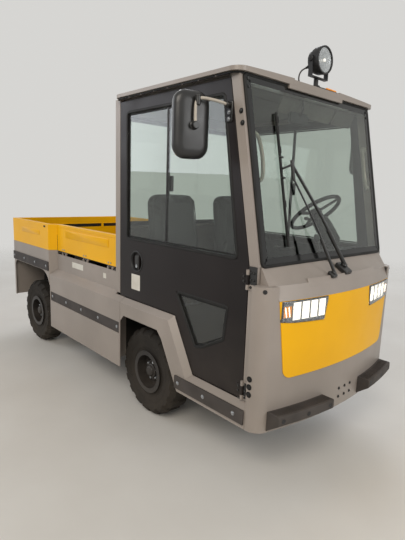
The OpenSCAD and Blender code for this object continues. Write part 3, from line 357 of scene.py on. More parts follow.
def make_materials():
    """The materials: tones are (scale, light, dark), roughness (scale, low, high), dust (tone, top, strength)."""
    # Faint orange peel of about 3 mm on baked enamel
    peel = (320.0, 0.05, 0.0004)
    # Stone grey enamel: the body panels, satin rather than glossy
    tones = (2.2, "9b928b", "8e867f", 0.35)
    finish("body_grey", "stone_grey_enamel", tones, (5.0, 0.31, 0.43), peel, ("8b7f70", 0.75, 0.35), specular=0.4)
    # Signal yellow enamel: the deck boards and the front panel, a shade glossier
    tones, rough = (2.2, "f6b800", "ebae00", 0.35), (5.0, 0.29, 0.41)
    finish("signal_yellow", "signal_yellow_enamel", tones, rough, peel, ("8b7f70", 0.75, 0.06), specular=0.25)
    # The side boards' enamel ends above their hinges; the barrels lie below 0.9545 m and take a near-black tone there
    # as painted shade, standing in for the dark gap under the boards
    tree, shader, place = finish("board_enamel", "board_enamel_and_painted_hinge_shade", tones, rough, peel, specular=0.25)
    height = node(tree, "ShaderNodeSeparateXYZ", [("Vector", place)])
    below = node(tree, "ShaderNodeMath", [(0, height.outputs["Z"]), (1, 0.9545)], operation="LESS_THAN")
    enamel = shader.inputs["Base Color"].links[0].from_socket
    # Painted shade: near black on the hinge barrels below the mask's height
    links = [("Factor", below.outputs["Value"]), ("A", enamel), ("B", linear("1b1a19"))]
    both = node(tree, "ShaderNodeMix", links, data_type="RGBA")
    tree.links.new(both.outputs["Result"], shader.inputs["Base Color"])
    # Pale grey paint of the mirror arms
    finish("arm_steel", "pale_arm_paint", (2.2, "b9b2a6", "aaa398", 0.35), (5.0, 0.3, 0.42), peel)
    # Black powder coat on the doors: very dark, broad soft sheen, texture of about 1 mm drawn at 2 mm so that it shows
    tones, grain = (3.0, "221d1d", "1a1616", 0.3, 0.75), (520.0, 0.12, 0.0004)
    finish("door_black", "black_powder_coat", tones, (6.0, 0.34, 0.46), grain, ("6d645a", 0.9, 0.4), specular=0.22)
    # Chassis paint: satin black over rough plate, dusty near the floor
    tones, grain = (4.0, "2a2928", "1c1c1c"), (240.0, 0.2, 0.0006)
    finish("chassis_black", "chassis_paint", tones, (7.0, 0.45, 0.65), grain, ("6b6054", 0.6, 0.6), specular=0.25)
    # Grey steel battery case, matt
    finish("battery_case", "battery_case_paint", (3.0, "50545a", "42464b"), (5.0, 0.5, 0.65))
    # Moulded rubber of the strips, steps and pedals: dull, slightly greyed
    tones, grain = (7.0, "454140", "322f2e"), (300.0, 0.25, 0.0006)
    finish("strip_rubber", "moulded_rubber", tones, (10.0, 0.6, 0.78), grain, ("74695c", 0.7, 0.45), specular=0.3)
    # Tyre rubber: near black, dusty grey where it has rolled
    tones, grain = (12.0, "2e2c2a", "1d1c1b"), (260.0, 0.3, 0.0008)
    finish("tyre_rubber", "tyre_rubber", tones, (12.0, 0.7, 0.9), grain, ("5e554a", 0.75, 0.5), specular=0.15)
    # Black painted rims, with brake dust
    tones = (9.0, "2a2a2b", "19191a")
    finish("rim_steel", "black_rim_paint", tones, (9.0, 0.35, 0.5), dust=("6b6054", 0.6, 0.5), specular=0.3)
    # Polycarbonate headlamp lens: clear, smooth and glossy, lit from behind
    finish("lamp_clear", "polycarbonate_lens", rough=0.08, colour="f1f1ee", glow="fff4e2", glow_strength=1.1)
    # Lit studs inside the headlamp cells
    finish("lamp_stud", "lit_diode_lens", rough=0.2, colour="fffaf0", glow="fff6e0", glow_strength=2.2)
    # Red acrylic of the rear lamps
    finish("lamp_red", "red_acrylic", (30.0, "a3161a", "861014"), 0.12, coat=0.6)
    # Amber acrylic of the turn signals and marker lamp
    tones = (30.0, "f0961a", "d97c0c")
    finish("amber_lens", "amber_acrylic", tones, 0.12, coat=0.6, glow="ff9d1e", glow_strength=0.25)
    # Tinted safety glass: thin grey-green, with sharp reflections
    finish("cab_glass", "tinted_safety_glass", rough=0.0, colour="d6ded8", ior=1.5, clear=1.0)
    # Clear polycarbonate covers: colourless, with sharp highlights
    finish("clear_cover", "clear_polycarbonate", rough=0.02, colour="f6f8f8", ior=1.58, clear=1.0)
    # Black moulded plastic, fine leather-like grain
    grain = (420.0, 0.25, 0.0005)
    finish("trim_plastic", "black_moulded_plastic", (8.0, "29292a", "1e1e1f"), (10.0, 0.4, 0.52), grain, specular=0.3)
    # Glass-filled nylon of handles, shells and clamps: charcoal, fine grain
    grain = (380.0, 0.22, 0.0005)
    finish("black_moulding", "glass_filled_nylon", (8.0, "2e2e2f", "222223"), (10.0, 0.42, 0.56), grain, specular=0.3)
    # Extruded window rubber: deep black, a little shine from wiping
    finish("seal_rubber", "extruded_rubber", (9.0, "232322", "171717"), (8.0, 0.5, 0.68), specular=0.25)
    # Ceramic border printed on the windscreen: black under gloss
    finish("glass_border", "printed_ceramic_border", (5.0, "1c1d1d", "131414"), 0.12)
    # Satin black paint on small steel parts: smoother and shinier than the doors
    finish("satin_black", "satin_black_paint", (6.0, "262626", "1a1a1a"), (9.0, 0.26, 0.38))
    # Blank vinyl labels: off-white, slightly yellowed
    finish("label_vinyl", "blank_vinyl_label", (14.0, "d9d7cf", "ccc8bc"), 0.35)
    # Vacuum-metallised bezel of the headlamps: grey mirror, slightly clouded
    finish("lamp_bezel", "metallised_bezel", (20.0, "8d8e90", "6f7174"), (20.0, 0.2, 0.32), metal=1.0)
    # Chrome plate: bright mirror with a faint haze
    finish("chrome_plate", "chrome_plate", (20.0, "d6d7d8", "bfc1c3"), (30.0, 0.06, 0.14), metal=1.0)
    # Silvered mirror glass: flat and perfectly smooth
    finish("silvered_glass", "silvered_glass", (3.0, "e4e7e8", "dde0e1"), 0.015, metal=1.0)
    # Zinc-plated steel: bright grey, mottled crystals
    finish("pin_steel", "zinc_plated_steel", (60.0, "b4b6b8", "8e9194"), (80.0, 0.28, 0.42), metal=1.0)
    # Headliner and trim: pressed felt, soft and matt
    finish("moulded_felt", "pressed_felt", (40.0, "77736b", "67635c"), 0.9, (600.0, 0.35, 0.0006))
    # Piping and seams of the seats: the same vinyl, rolled over a cord, a shade lighter
    finish("seat_thread", "rolled_vinyl_piping", (30.0, "454647", "363738"), 0.5)
    # Seat vinyl: dark, soft sheen, leather grain of about 2 mm
    tree, shader, place = finish("seat_vinyl", "seat_vinyl", (6.0, "343536", "262728"), (9.0, 0.45, 0.6))
    cells = node(tree, "ShaderNodeTexVoronoi", [("Vector", place), ("Scale", 420.0)])
    links = [("Height", cells.outputs["Distance"]), ("Strength", 0.3), ("Distance", 0.0006)]
    tree.links.new(node(tree, "ShaderNodeBump", links).outputs["Normal"], shader.inputs["Normal"])
    # Polyester belt webbing: ribbed weave of about 2 mm
    tree, shader, place = finish("belt_webbing", "polyester_webbing", rough=0.75)
    weave = node(tree, "ShaderNodeTexWave", [("Vector", place), ("Scale", 180.0), ("Distortion", 1.5)])
    ramp = node(tree, "ShaderNodeValToRGB", [("Fac", weave.outputs["Fac"])])
    for stop, tone in zip(ramp.color_ramp.elements, ("1d1e20", "3a3b3d")):
        stop.color = linear(tone)
    tree.links.new(ramp.outputs["Color"], shader.inputs["Base Color"])
    # Deck plate: chequered steel, painted dark, the crossings worn bright; raised bars 30 mm apart, crossing
    tree, shader, place = finish("deck_plate", "chequered_deck_plate", rough=(8.0, 0.4, 0.6))
    heights = []
    for turn in (radians(45), radians(-45)):
        links = [("Vector", place), ("Rotation", (0, 0, turn)), ("Scale", (66, 33, 1))]
        bars = node(tree, "ShaderNodeMapping", links)
        links = [("Vector", bars.outputs["Vector"]), ("Scale", 1.0), ("Randomness", 0.0)]
        heights.append(node(tree, "ShaderNodeTexVoronoi", links, voronoi_dimensions="2D").outputs["Distance"])
    both = node(tree, "ShaderNodeMath", [(0, heights[0]), (1, heights[1])], operation="MINIMUM")
    links = [("Value", both.outputs["Value"]), ("From Min", 0.16), ("From Max", 0.3), ("To Min", 1.0), ("To Max", 0.0)]
    bars = node(tree, "ShaderNodeMapRange", links).outputs["Result"]
    links = [("Factor", bars), ("A", mottled(tree, place, 6.0, "3a3a3b", "2c2c2d")), ("B", linear("57575a"))]
    worn = node(tree, "ShaderNodeMix", links, data_type="RGBA")
    tree.links.new(worn.outputs["Result"], shader.inputs["Base Color"])
    links = [("Height", bars), ("Strength", 0.6), ("Distance", 0.002)]
    tree.links.new(node(tree, "ShaderNodeBump", links).outputs["Normal"], shader.inputs["Normal"])


make_materials()
# The record's slot of each finish that has no slot of its own, unless the piece names another
SLOTS = {
    "seal_rubber": "strip_rubber",
    "black_moulding": "trim_plastic",
    "satin_black": "trim_plastic",
    "glass_border": "trim_plastic",
    "moulded_felt": "trim_plastic",
    "label_vinyl": "body_grey",
    "silvered_glass": "arm_steel",
    "chrome_plate": "arm_steel",
    "clear_cover": "cab_glass",
    "amber_lens": "lamp_clear",
    "lamp_stud": "lamp_clear",
    "seat_thread": "seat_vinyl",
    "belt_webbing": "seat_vinyl",
}


def shown(name, data):
    """A new object of a mesh, in the scene."""
    piece = bpy.data.objects.new(name, data)
    bpy.context.scene.collection.objects.link(piece)
    return piece


def settled(piece):
    """The mesh that a piece's modifiers give."""
    bpy.context.view_layer.update()
    return bpy.data.meshes.new_from_object(piece.evaluated_get(bpy.context.evaluated_depsgraph_get()))


def add(name, look, *parts, body="chassis", slot=None, replaces=(), edge=0.0):
    """Makes a piece of (shape function, values) parts: a material, rounded shading, eased edges, and its body."""
    mesh = bmesh.new()
    for make, *values in parts:
        make(mesh, *values)
    bmesh.ops.recalc_face_normals(mesh, faces=mesh.faces)
    data = bpy.data.meshes.new(name)
    mesh.to_mesh(data)
    mesh.free()
    data.shade_smooth()
    data.set_sharp_from_angle(angle=radians(35))
    data.materials.append(MATERIALS[look])
    piece = shown(name, data)
    if edge:
        bevel = piece.modifiers.new("edges", "BEVEL")
        bevel.limit_method = "ANGLE"
        bevel.width = edge * MM
        bevel.segments = 2
    if replaces:
        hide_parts(*replaces)
    slot or SLOTS.get(look, look)
    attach(piece, body)
    return piece


def group_tree(name, sizes):
    """A node tree that takes places and named sizes, and the sockets that it is given."""
    tree = bpy.data.node_groups.new(name, "GeometryNodeTree")
    tree.interface.new_socket("Places", in_out="INPUT", socket_type="NodeSocketGeometry")
    for label, default in sizes.items():
        kind = "NodeSocketInt" if isinstance(default, int) else "NodeSocketFloat"
        tree.interface.new_socket(label, in_out="INPUT", socket_type=kind).default_value = default
    tree.interface.new_socket("Finish", in_out="INPUT", socket_type="NodeSocketMaterial")
    tree.interface.new_socket("Result", in_out="OUTPUT", socket_type="NodeSocketGeometry")
    return tree, node(tree, "NodeGroupInput").outputs


def lifted(tree, mesh, height):
    """A mesh moved up, in a node tree."""
    lift = node(tree, "ShaderNodeCombineXYZ", [("Z", height)])
    links = [("Geometry", mesh.outputs["Mesh"]), ("Translation", lift.outputs[0])]
    return node(tree, "GeometryNodeTransform", links).outputs[0]


def close_tree(tree, given, parts):
    """Sets the joined parts on each place, facing its aim, and gives the result its finish."""
    joined = node(tree, "GeometryNodeJoinGeometry")
    for part in parts:
        tree.links.new(part, joined.inputs[0])
    aim = node(tree, "GeometryNodeInputNamedAttribute", [("Name", "aim")], data_type="FLOAT_VECTOR")
    # The node's fourth input and second output are those of its float kind
    spin = node(tree, "FunctionNodeRandomValue", [(3, given["Most turn"]), ("Seed", given["Seed"])], data_type="FLOAT")
    euler = node(tree, "ShaderNodeCombineXYZ", [("Z", spin.outputs[1])])
    start = node(tree, "FunctionNodeEulerToRotation", [("Euler", euler.outputs[0])])
    links = [("Rotation", start.outputs[0]), ("Vector", aim.outputs["Attribute"])]
    turn = node(tree, "FunctionNodeAlignRotationToVector", links, axis="Z")
    links = [("Points", given["Places"]), ("Instance", joined.outputs[0]), ("Rotation", turn.outputs[0])]
    placed = node(tree, "GeometryNodeInstanceOnPoints", links)
    real = node(tree, "GeometryNodeRealizeInstances", [("Geometry", placed.outputs[0])])
    links = [("Geometry", real.outputs[0]), ("Material", given["Finish"])]
    dressed = node(tree, "GeometryNodeSetMaterial", links)
    node(tree, "NodeGroupOutput", [("Result", dressed.outputs[0])])
    return tree


def bolt_tree():
    """Bolt heads: a washer, a head with any number of sides and its eased top."""
    sizes = {"Sides": 6, "Radius": 0.0075, "Height": 0.006, "Washer": 0.011, "Most turn": pi, "Seed": 5}
    tree, given = group_tree("bolt_heads", sizes)
    radius, height = given["Radius"], given["Height"]
    links = [("Vertices", 20), ("Radius", given["Washer"]), ("Depth", 0.002)]
    washer = node(tree, "GeometryNodeMeshCylinder", links)
    head = node(tree, "GeometryNodeMeshCylinder", [("Vertices", given["Sides"]), ("Radius", radius), ("Depth", height)])
    half = node(tree, "ShaderNodeMath", [(0, height), (1, 0.5)], operation="MULTIPLY")
    narrow = node(tree, "ShaderNodeMath", [(0, radius), (1, 0.6)], operation="MULTIPLY")
    wide = node(tree, "ShaderNodeMath", [(0, radius), (1, 0.86)], operation="MULTIPLY")
    links = [("Vertices", 16), ("Radius Top", narrow.outputs[0]), ("Radius Bottom", wide.outputs[0]), ("Depth", 0.0015)]
    top = node(tree, "GeometryNodeMeshCone", links)
    parts = (washer.outputs["Mesh"], lifted(tree, head, half.outputs[0]), lifted(tree, top, height))
    return close_tree(tree, given, parts)


def bar_tree():
    """Bars and studs: a block with a narrower crown, as ribs, cells and stitches are."""
    sizes = {"Length": 0.01, "Width": 0.004, "Height": 0.002, "Most turn": 0.0, "Seed": 3}
    tree, given = group_tree("bars", sizes)
    size = node(tree, "ShaderNodeCombineXYZ", [("X", given["Length"]), ("Y", given["Width"]), ("Z", given["Height"])])
    base = node(tree, "GeometryNodeMeshCube", [("Size", size.outputs[0])])
    small = node(tree, "ShaderNodeVectorMath", [(0, size.outputs[0]), (1, (0.86, 0.7, 1.0))], operation="MULTIPLY")
    crown = node(tree, "GeometryNodeMeshCube", [("Size", small.outputs[0])])
    half = node(tree, "ShaderNodeMath", [(0, given["Height"]), (1, 0.35)], operation="MULTIPLY")
    return close_tree(tree, given, (base.outputs["Mesh"], lifted(tree, crown, half.outputs[0])))


# Each tree with the sizes that its users give, in order
TREES = {
    "bolt": (bolt_tree(), ("Radius", "Height", "Washer", "Sides")),
    "bar": (bar_tree(), ("Length", "Width", "Height")),
}


def repeat(name, kind, look, places, sizes=(), body="chassis", slot=None):
    """Sets one small shape on many (place, aim) pairs with its node tree, and keeps the result as a plain mesh."""
    mesh = bpy.data.meshes.new(name + "_places")
    mesh.from_pydata([place for place, aim in places], [], [])
    aims = mesh.attributes.new("aim", "FLOAT_VECTOR", "POINT")
    for i, (place, aim) in enumerate(places):
        aims.data[i].vector = aim
    piece = shown(name, mesh)
    modifier = piece.modifiers.new(kind, "NODES")
    tree, labels = TREES[kind]
    given = dict(zip(labels, sizes), Finish=MATERIALS[look])
    modifier.node_group = tree
    for socket in tree.interface.items_tree:
        if socket.in_out == "INPUT" and socket.name in given:
            modifier[socket.identifier] = given[socket.name]
    result = settled(piece)
    piece.modifiers.clear()
    piece.data = result
    bpy.data.meshes.remove(mesh)
    result.name = name
    slot or SLOTS.get(look, look)
    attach(piece, body)
    return piece


def shading_tree():
    """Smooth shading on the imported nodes, with the edges above an angle kept sharp."""
    tree = bpy.data.node_groups.new("round_shading", "GeometryNodeTree")
    tree.interface.new_socket("Mesh", in_out="INPUT", socket_type="NodeSocketGeometry")
    tree.interface.new_socket("Angle", in_out="INPUT", socket_type="NodeSocketFloat").default_value = radians(28)
    tree.interface.new_socket("Mesh", in_out="OUTPUT", socket_type="NodeSocketGeometry")
    given = node(tree, "NodeGroupInput").outputs
    whole = node(tree, "GeometryNodeSetShadeSmooth", [("Geometry", given["Mesh"])])
    angle = node(tree, "GeometryNodeInputMeshEdgeAngle")
    sharp = node(tree, "FunctionNodeCompare", [(0, angle.outputs[0]), (1, given["Angle"])], operation="GREATER_THAN")
    links = [("Geometry", whole.outputs[0]), ("Selection", sharp.outputs[0]), ("Shade Smooth", False)]
    edged = node(tree, "GeometryNodeSetShadeSmooth", links, domain="EDGE")
    node(tree, "NodeGroupOutput", [("Mesh", edged.outputs[0])])
    return tree


# Sizes and colours that a user would change


def length(name, description, default, low, high):
    """A length in metres, between two limits."""
    return FloatProperty(name=name, description=description, default=default, min=low, max=high, unit="LENGTH")


def angle(name, description, default):
    """An angle, given in degrees."""
    return FloatProperty(name=name, description=description, default=radians(default), subtype="ANGLE")


class TUG_PG_stage(PropertyGroup):
    camera_place: FloatVectorProperty(
        name="Camera place",
        description="Where the camera stands, from the front axle, the middle and the floor",
        size=3,
        default=(2.3023, -2.205, 1.5108),
        subtype="TRANSLATION",
        unit="LENGTH",
    )
    camera_yaw: angle("Yaw", "Heading of the camera from +X", 137.66)
    camera_pitch: angle("Pitch", "Tilt of the camera upwards", -10.24)
    camera_roll: angle("Roll", "Lean of the camera to its right", 2.02)
    focal: FloatProperty(name="Focal length", description="For a 36 mm long side", default=438.8 / 540 * 36, min=10)
    floor_tone: StringProperty(name="Floor colour", description="Of floor and backdrop, as sRGB hex", default="d9d7d2")


class TUG_PG_panels(PropertyGroup):
    edge: length("Edge radius", "Radius of the panels' edges", 0.003, 0.0, 0.01)
    steps: IntProperty(name="Edge steps", description="Facets across a rounded edge", default=2, min=1, max=4)


class TUG_PG_light(PropertyGroup):
    cable_radius: length("Cable radius", "Radius of the work light's cable", 0.004, 0.002, 0.008)


class TUG_PG_glazing(PropertyGroup):
    seal: length("Seal", "Width of the rubber seals", 0.016, 0.008, 0.03)
    border: length("Border", "Width of the windscreen's printed border", 0.042, 0.01, 0.08)


class TUG_PG_doors(PropertyGroup):
    ring: length("Ring", "Diameter of the handles' rings", 0.138, 0.12, 0.15)


class TUG_PG_lamps(PropertyGroup):
    cell: length("Cell", "Width of a headlamp cell", 0.053, 0.04, 0.056)


class TUG_PG_mirrors(PropertyGroup):
    width: length("Width", "Width of a mirror", 0.192, 0.17, 0.2)
    height: length("Height", "Height of a mirror", 0.318, 0.28, 0.33)
    turn: angle("Turn", "Turn of the mirrors", -12)


class TUG_PG_front(PropertyGroup):
    step_depth: length("Step depth", "Depth of the step pads", 0.076, 0.06, 0.076)
    step_rise: length("Step height", "Height of the pads' front faces", 0.048, 0.03, 0.06)
    blade_length: length("Blade", "Length of the wiper's blade", 0.686, 0.5, 0.75)


class TUG_PG_wheels(PropertyGroup):
    nuts: IntProperty(name="Wheel nuts", description="Nuts on each wheel", default=6, min=4, max=8)


class TUG_PG_cab(PropertyGroup):
    rib_gap: IntProperty(name="Rib spacing", description="Of the mat, in millimetres", default=14, min=10, max=30)


class TUG_PG_seats(PropertyGroup):
    width: length("Seat width", "Width of a seat", 0.44, 0.4, 0.46)


class TUG_PG_deck(PropertyGroup):
    slat_gap: length("Louvre spacing", "Spacing of the rear louvres", 0.016, 0.012, 0.02)


class TUG_OT_stage(Operator):
    """Camera, lamps, floor and backdrop"""

    bl_idname = "tug.stage"
    bl_label = "Stage"

    # Name, place, size, power and tone
    lamps = (
        ("key_softbox", (4.5, -5.5, 5.5), 4.0, 330, "fff6ea"),
        ("fill_softbox", (-5.5, -5.0, 4.0), 4.5, 150, "f2f6ff"),
        ("back_softbox", (-3.0, 5.5, 5.0), 4.0, 220, "f6f8ff"),
        ("front_softbox", (7.0, 1.5, 3.0), 3.0, 110, "ffffff"),
    )

    def execute(self, context):
        sizes = context.scene.tug_stage
        data = bpy.data.cameras.new("camera")
        data.sensor_fit = "AUTO"
        data.sensor_width = 36
        data.lens = sizes.focal
        data.clip_start, data.clip_end = 0.05, 100
        camera = shown("camera", data)
        yaw, pitch, roll = sizes.camera_yaw, sizes.camera_pitch, sizes.camera_roll
        forward = Vector((cos(yaw) * cos(pitch), sin(yaw) * cos(pitch), sin(pitch)))
        level = forward.cross(UP).normalized()
        upright = level.cross(forward)
        right = cos(roll) * level + sin(roll) * upright
        up = -sin(roll) * level + cos(roll) * upright
        turn = Matrix((right, up, -forward)).transposed().to_4x4()
        camera.matrix_world = Matrix.Translation(Vector(sizes.camera_place) + Vector((AXLE, 0, 0))) @ turn
        context.scene.camera = camera

        self.floor(sizes.floor_tone)
        for name, place, size, power, tone in self.lamps:
            lamp = bpy.data.lights.new(name, "AREA")
            lamp.shape = "SQUARE"
            lamp.size = size
            lamp.energy = power
            lamp.color = linear(tone)[:3]
            holder = shown(name, lamp)
            holder.location = place
            holder.rotation_euler = (Vector((0, 0, 0.9)) - Vector(place)).to_track_quat("-Z", "Y").to_euler()
        world = bpy.data.worlds.new("studio")
        world.use_nodes = True
        context.scene.world = world
        tree = world.node_tree
        backdrop = tree.nodes["Background"]
        backdrop.inputs["Color"].default_value = linear("e6e5e2")
        path = node(tree, "ShaderNodeLightPath").outputs
        links = [(0, path["Is Camera Ray"]), (1, path["Is Glossy Ray"])]
        seen = node(tree, "ShaderNodeMath", links, operation="ADD")
        links = [(0, seen.outputs["Value"]), (1, path["Is Transmission Ray"])]
        seen = node(tree, "ShaderNodeMath", links, operation="ADD", use_clamp=True)
        level = node(tree, "ShaderNodeMapRange", [("Value", seen.outputs["Value"]), ("To Min", 0.42), ("To Max", 0.85)])
        tree.links.new(level.outputs["Result"], backdrop.inputs["Strength"])
        context.scene.view_settings.view_transform = "Standard"
        return {"FINISHED"}

    def floor(self, tone):
        grid = bmesh.new()
        bmesh.ops.create_grid(grid, x_segments=1, y_segments=1, size=60)
        mesh = bpy.data.meshes.new("floor")
        grid.to_mesh(mesh)
        grid.free()
        tree, shader, place = finish("floor", "sealed_concrete", (1.3, tone, "cfccc6", 0.3, 0.75), 0.55)
        # The floor fades into the plain background, so that no horizon shows
        reach = node(tree, "ShaderNodeVectorMath", [(0, place)], operation="LENGTH")
        links = [("Value", reach.outputs["Value"]), ("From Min", 3.2), ("From Max", 9.0)]
        fade = node(tree, "ShaderNodeMapRange", links, interpolation_type="SMOOTHSTEP")
        clear = node(tree, "ShaderNodeBsdfTransparent")
        links = [("Fac", fade.outputs["Result"]), (1, shader.outputs[0]), (2, clear.outputs[0])]
        mix = node(tree, "ShaderNodeMixShader", links)
        tree.links.new(mix.outputs[0], tree.nodes["Material Output"].inputs["Surface"])
        mesh.materials.append(MATERIALS["floor"])
        shown("floor", mesh)


class TUG_OT_cable(Operator):
    """Cable of the work light, from its gland into the roof"""

    bl_idname = "tug.cable"
    bl_label = "Work light cable"

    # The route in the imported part's source, from the light's back down into the roof
    route = (
        (743.7, -41.2, 2208.9),
        (735.5, -45.6, 2205.5),
        (727.2, -53.5, 2200.0),
        (719.7, -64.5, 2190.5),
        (714.7, -74.5, 2175.5),
        (713.2, -80.5, 2157.0),
        (715.2, -83.0, 2138.0),
        (722.2, -83.3, 2121.0),
        (722.7, -83.3, 2111.1),
    )
    upper_gland = [(0, -2), (9, -2), (9, 4), (7, 6), (6.4, 11), (5.2, 14), (4.6, 18), (0, 18)]
    roof_gland = [(0, -1), (12, -1), (12, 2.5), (8, 5), (5.4, 10), (0, 10)]

    def execute(self, context):
        radius = context.scene.tug_light.cable_radius / MM
        path = smooth_line([at(*point) for point in self.route], 3)
        cable = add("cable", "strip_rubber", (tube, path, radius, 12), replaces=("light_cable",))
        # Tapered glands hold it at the light and at the roof
        glands = (turned, self.upper_gland, path[0], path[1] - path[0], 16), (turned, self.roof_gland, path[-1], UP, 16)
        add("cable_glands", "trim_plastic", *glands)
        length = sum((b - a).length for a, b in zip(path, path[1:]))
        tuple(path[0])
        return {"FINISHED"}


class TUG_OT_panels(Operator):
    """Finish of the CAD nodes, with their edges rounded"""

    bl_idname = "tug.panels"
    bl_label = "Body panels"

    # These are smooth or hidden as they are
    plain = {"light_cable", "battery"}
    # These keep their edges: the seals hide the panes' edges, and the others have no room for a rounding
    square = {"hitch_pin", "cab_frame", "windscreen", "rear_window", "door_glass_right", "door_glass_left"}
    # The headlamps' solid is their bezel here: the lit cells are pieces of their own
    finishes = {"headlamps": "lamp_bezel", "side_board_right": "board_enamel", "side_board_left": "board_enamel"}

    def execute(self, context):
        sizes = context.scene.tug_panels
        rounding = shading_tree()
        for row in frame["record"]["subparts"]:
            name = row["node"]
            panel = NODES[name]
            panel.data.materials.clear()
            panel.data.materials.append(MATERIALS[self.finishes.get(name, row["material_slot"])])
            if name in self.plain:
                continue
            panel.modifiers.new("weld", "WELD").merge_threshold = 0.00001
            panel.modifiers.new("shading", "NODES").node_group = rounding
            if name in self.square:
                continue
            bevel = panel.modifiers.new("edges", "BEVEL")
            bevel.limit_method = "ANGLE"
            bevel.angle_limit = radians(32)
            bevel.width = sizes.edge
            bevel.segments = sizes.steps
        return {"FINISHED"}


class TUG_OT_glazing(Operator):
    """Rubber seals, printed borders and the sliding panes of the glass"""

    bl_idname = "tug.glazing"
    bl_label = "Seals and panes"

    def execute(self, context):
        seal = context.scene.tug_glazing.seal / MM
        border = context.scene.tug_glazing.border / MM
        glass = oblong(-SCREEN_HALF, SCREEN_HALF, -4, 931, 26)
        print_low, print_high = GLASS_T + 0.1, GLASS_T + 0.9
        add("windscreen_border", "glass_border", (band, glass, border, screen_plane, print_low, print_high, 0.3))
        add("windscreen_seal", "seal_rubber", (band, grown(glass, 5), seal, screen_plane, 0.4, 11, 3.5))
        rear = oblong(-553, 553, 1252, 1983, 30)
        add(
            "rear_window_seal",
            "seal_rubber",
            (band, grown(rear, 10), seal + 4, across_plane(0), -352, -338, 3),
            (band, rear, border * 0.7, across_plane(0), -340.4, -341.2, 0.3),
        )
        for side, word in SIDES.items():
            place, body = side_plane(side, DOOR_Y), "door_" + word
            rims = []
            for pane, radius in ((UPPER_PANE, 30), (LOWER_PANE, 24)):
                outline = rounded(grown(pane, 7), radius)
                rims.append((band, outline, seal, place, -24, 4, 3.5))
                rims.append((band, grown(outline, -seal - 3), 9, place, -9.8, -8.4, 0.4))
            add("door_seals_" + word, "seal_rubber", *rims, body=body)
            # The front half of the upper pane slides behind the rear one; the bar is its front stile
            add(
                "pane_rails_" + word,
                "black_moulding",
                (slab, oblong(200, 215, 1186, 1979), place, -30, -6, 3),
                (slab, oblong(-206, 806, 1180, 1190), place, -30, -12, 2),
                (slab, oblong(-206, 678, 1975, 1985), place, -30, -12, 2),
                (slab, oblong(222, 246, 1500, 1590, 8), place, -34, -16, 3),
                body=body,
            )
        return {"FINISHED"}


class TUG_OT_doors(Operator):
    """Handles, labels and trim of the two doors"""

    bl_idname = "tug.doors"
    bl_label = "Door fittings"

    lock = [(0, -3), (11, -3), (11, 2), (9.5, 3), (8, 2.4), (0, 2.4)]
    foot = [(0, 0), (17, 0), (17, 4), (13, 8), (0, 8)]
    trim = [(-270, 830), (300, 830), (300, 960), (760, 960), (850, 1000), (850, 1150), (-270, 1150)]
    grip = ((120, 1090, -44), (122, 1090, -67), (150, 1092, -80), (260, 1096, -80), (288, 1098, -67), (290, 1098, -44))

    def execute(self, context):
        ring = context.scene.tug_doors.ring / 2 / MM
        rim = [(ring - 11, -12), (ring - 9, -1), (ring - 5, 3.5), (ring - 1, 4), (ring + 2, 2), (ring + 3, -1)]
        for side, word in SIDES.items():
            place, body, out = side_plane(side, DOOR_Y), "door_" + word, Vector((0, side, 0))
            turn = (turned, rim, place(-92, 1038, 0), out, 48)
            add("handle_ring_" + word, "black_moulding", turn, body=body)
            add(
                "handle_paddle_" + word,
                "satin_black",
                (slab, oblong(-112, -72, 996, 1080, 12), place, -12, 1, 4),
                (slab, oblong(-76, -70, 992, 1084, 2.5), place, -13, -1, 2),
                body=body,
            )
            add(
                "door_lock_" + word,
                "pin_steel",
                (turned, self.lock, place(-92, 1008, -1), out),
                (slab, oblong(-93, -91, 1002, 1014), place, 0.6, 1.8, 0.4),
                body=body,
            )
            # Blank label on the door, a hair proud of the paint
            label = (slab, oblong(-150, -50, 846, 950, 5), place, -0.5, 0.4, 0.2)
            add("door_label_" + word, "label_vinyl", label, body=body)
            # Inside: a padded trim panel, a pull handle and the latch
            trim = (slab, rounded(self.trim, 20), place, -33, -42, 4)
            add("door_trim_" + word, "black_moulding", trim, body=body)
            pull = [(tube, smooth_line([place(*point) for point in self.grip], 5), 9, 12)]
            pull += [(turned, self.foot, place(x, z, -42), -out, 20) for x, z in ((120, 1090), (290, 1098))]
            add("door_pull_" + word, "satin_black", *pull, body=body)
            add(
                "door_latch_" + word,
                "pin_steel",
                (slab, oblong(-285, -255, 1000, 1080, 6), place, -28, -46, 3),
                (rod, place(-270, 1040, -44), place(-270, 1040, -60), 12),
                body=body,
            )
        return {"FINISHED"}


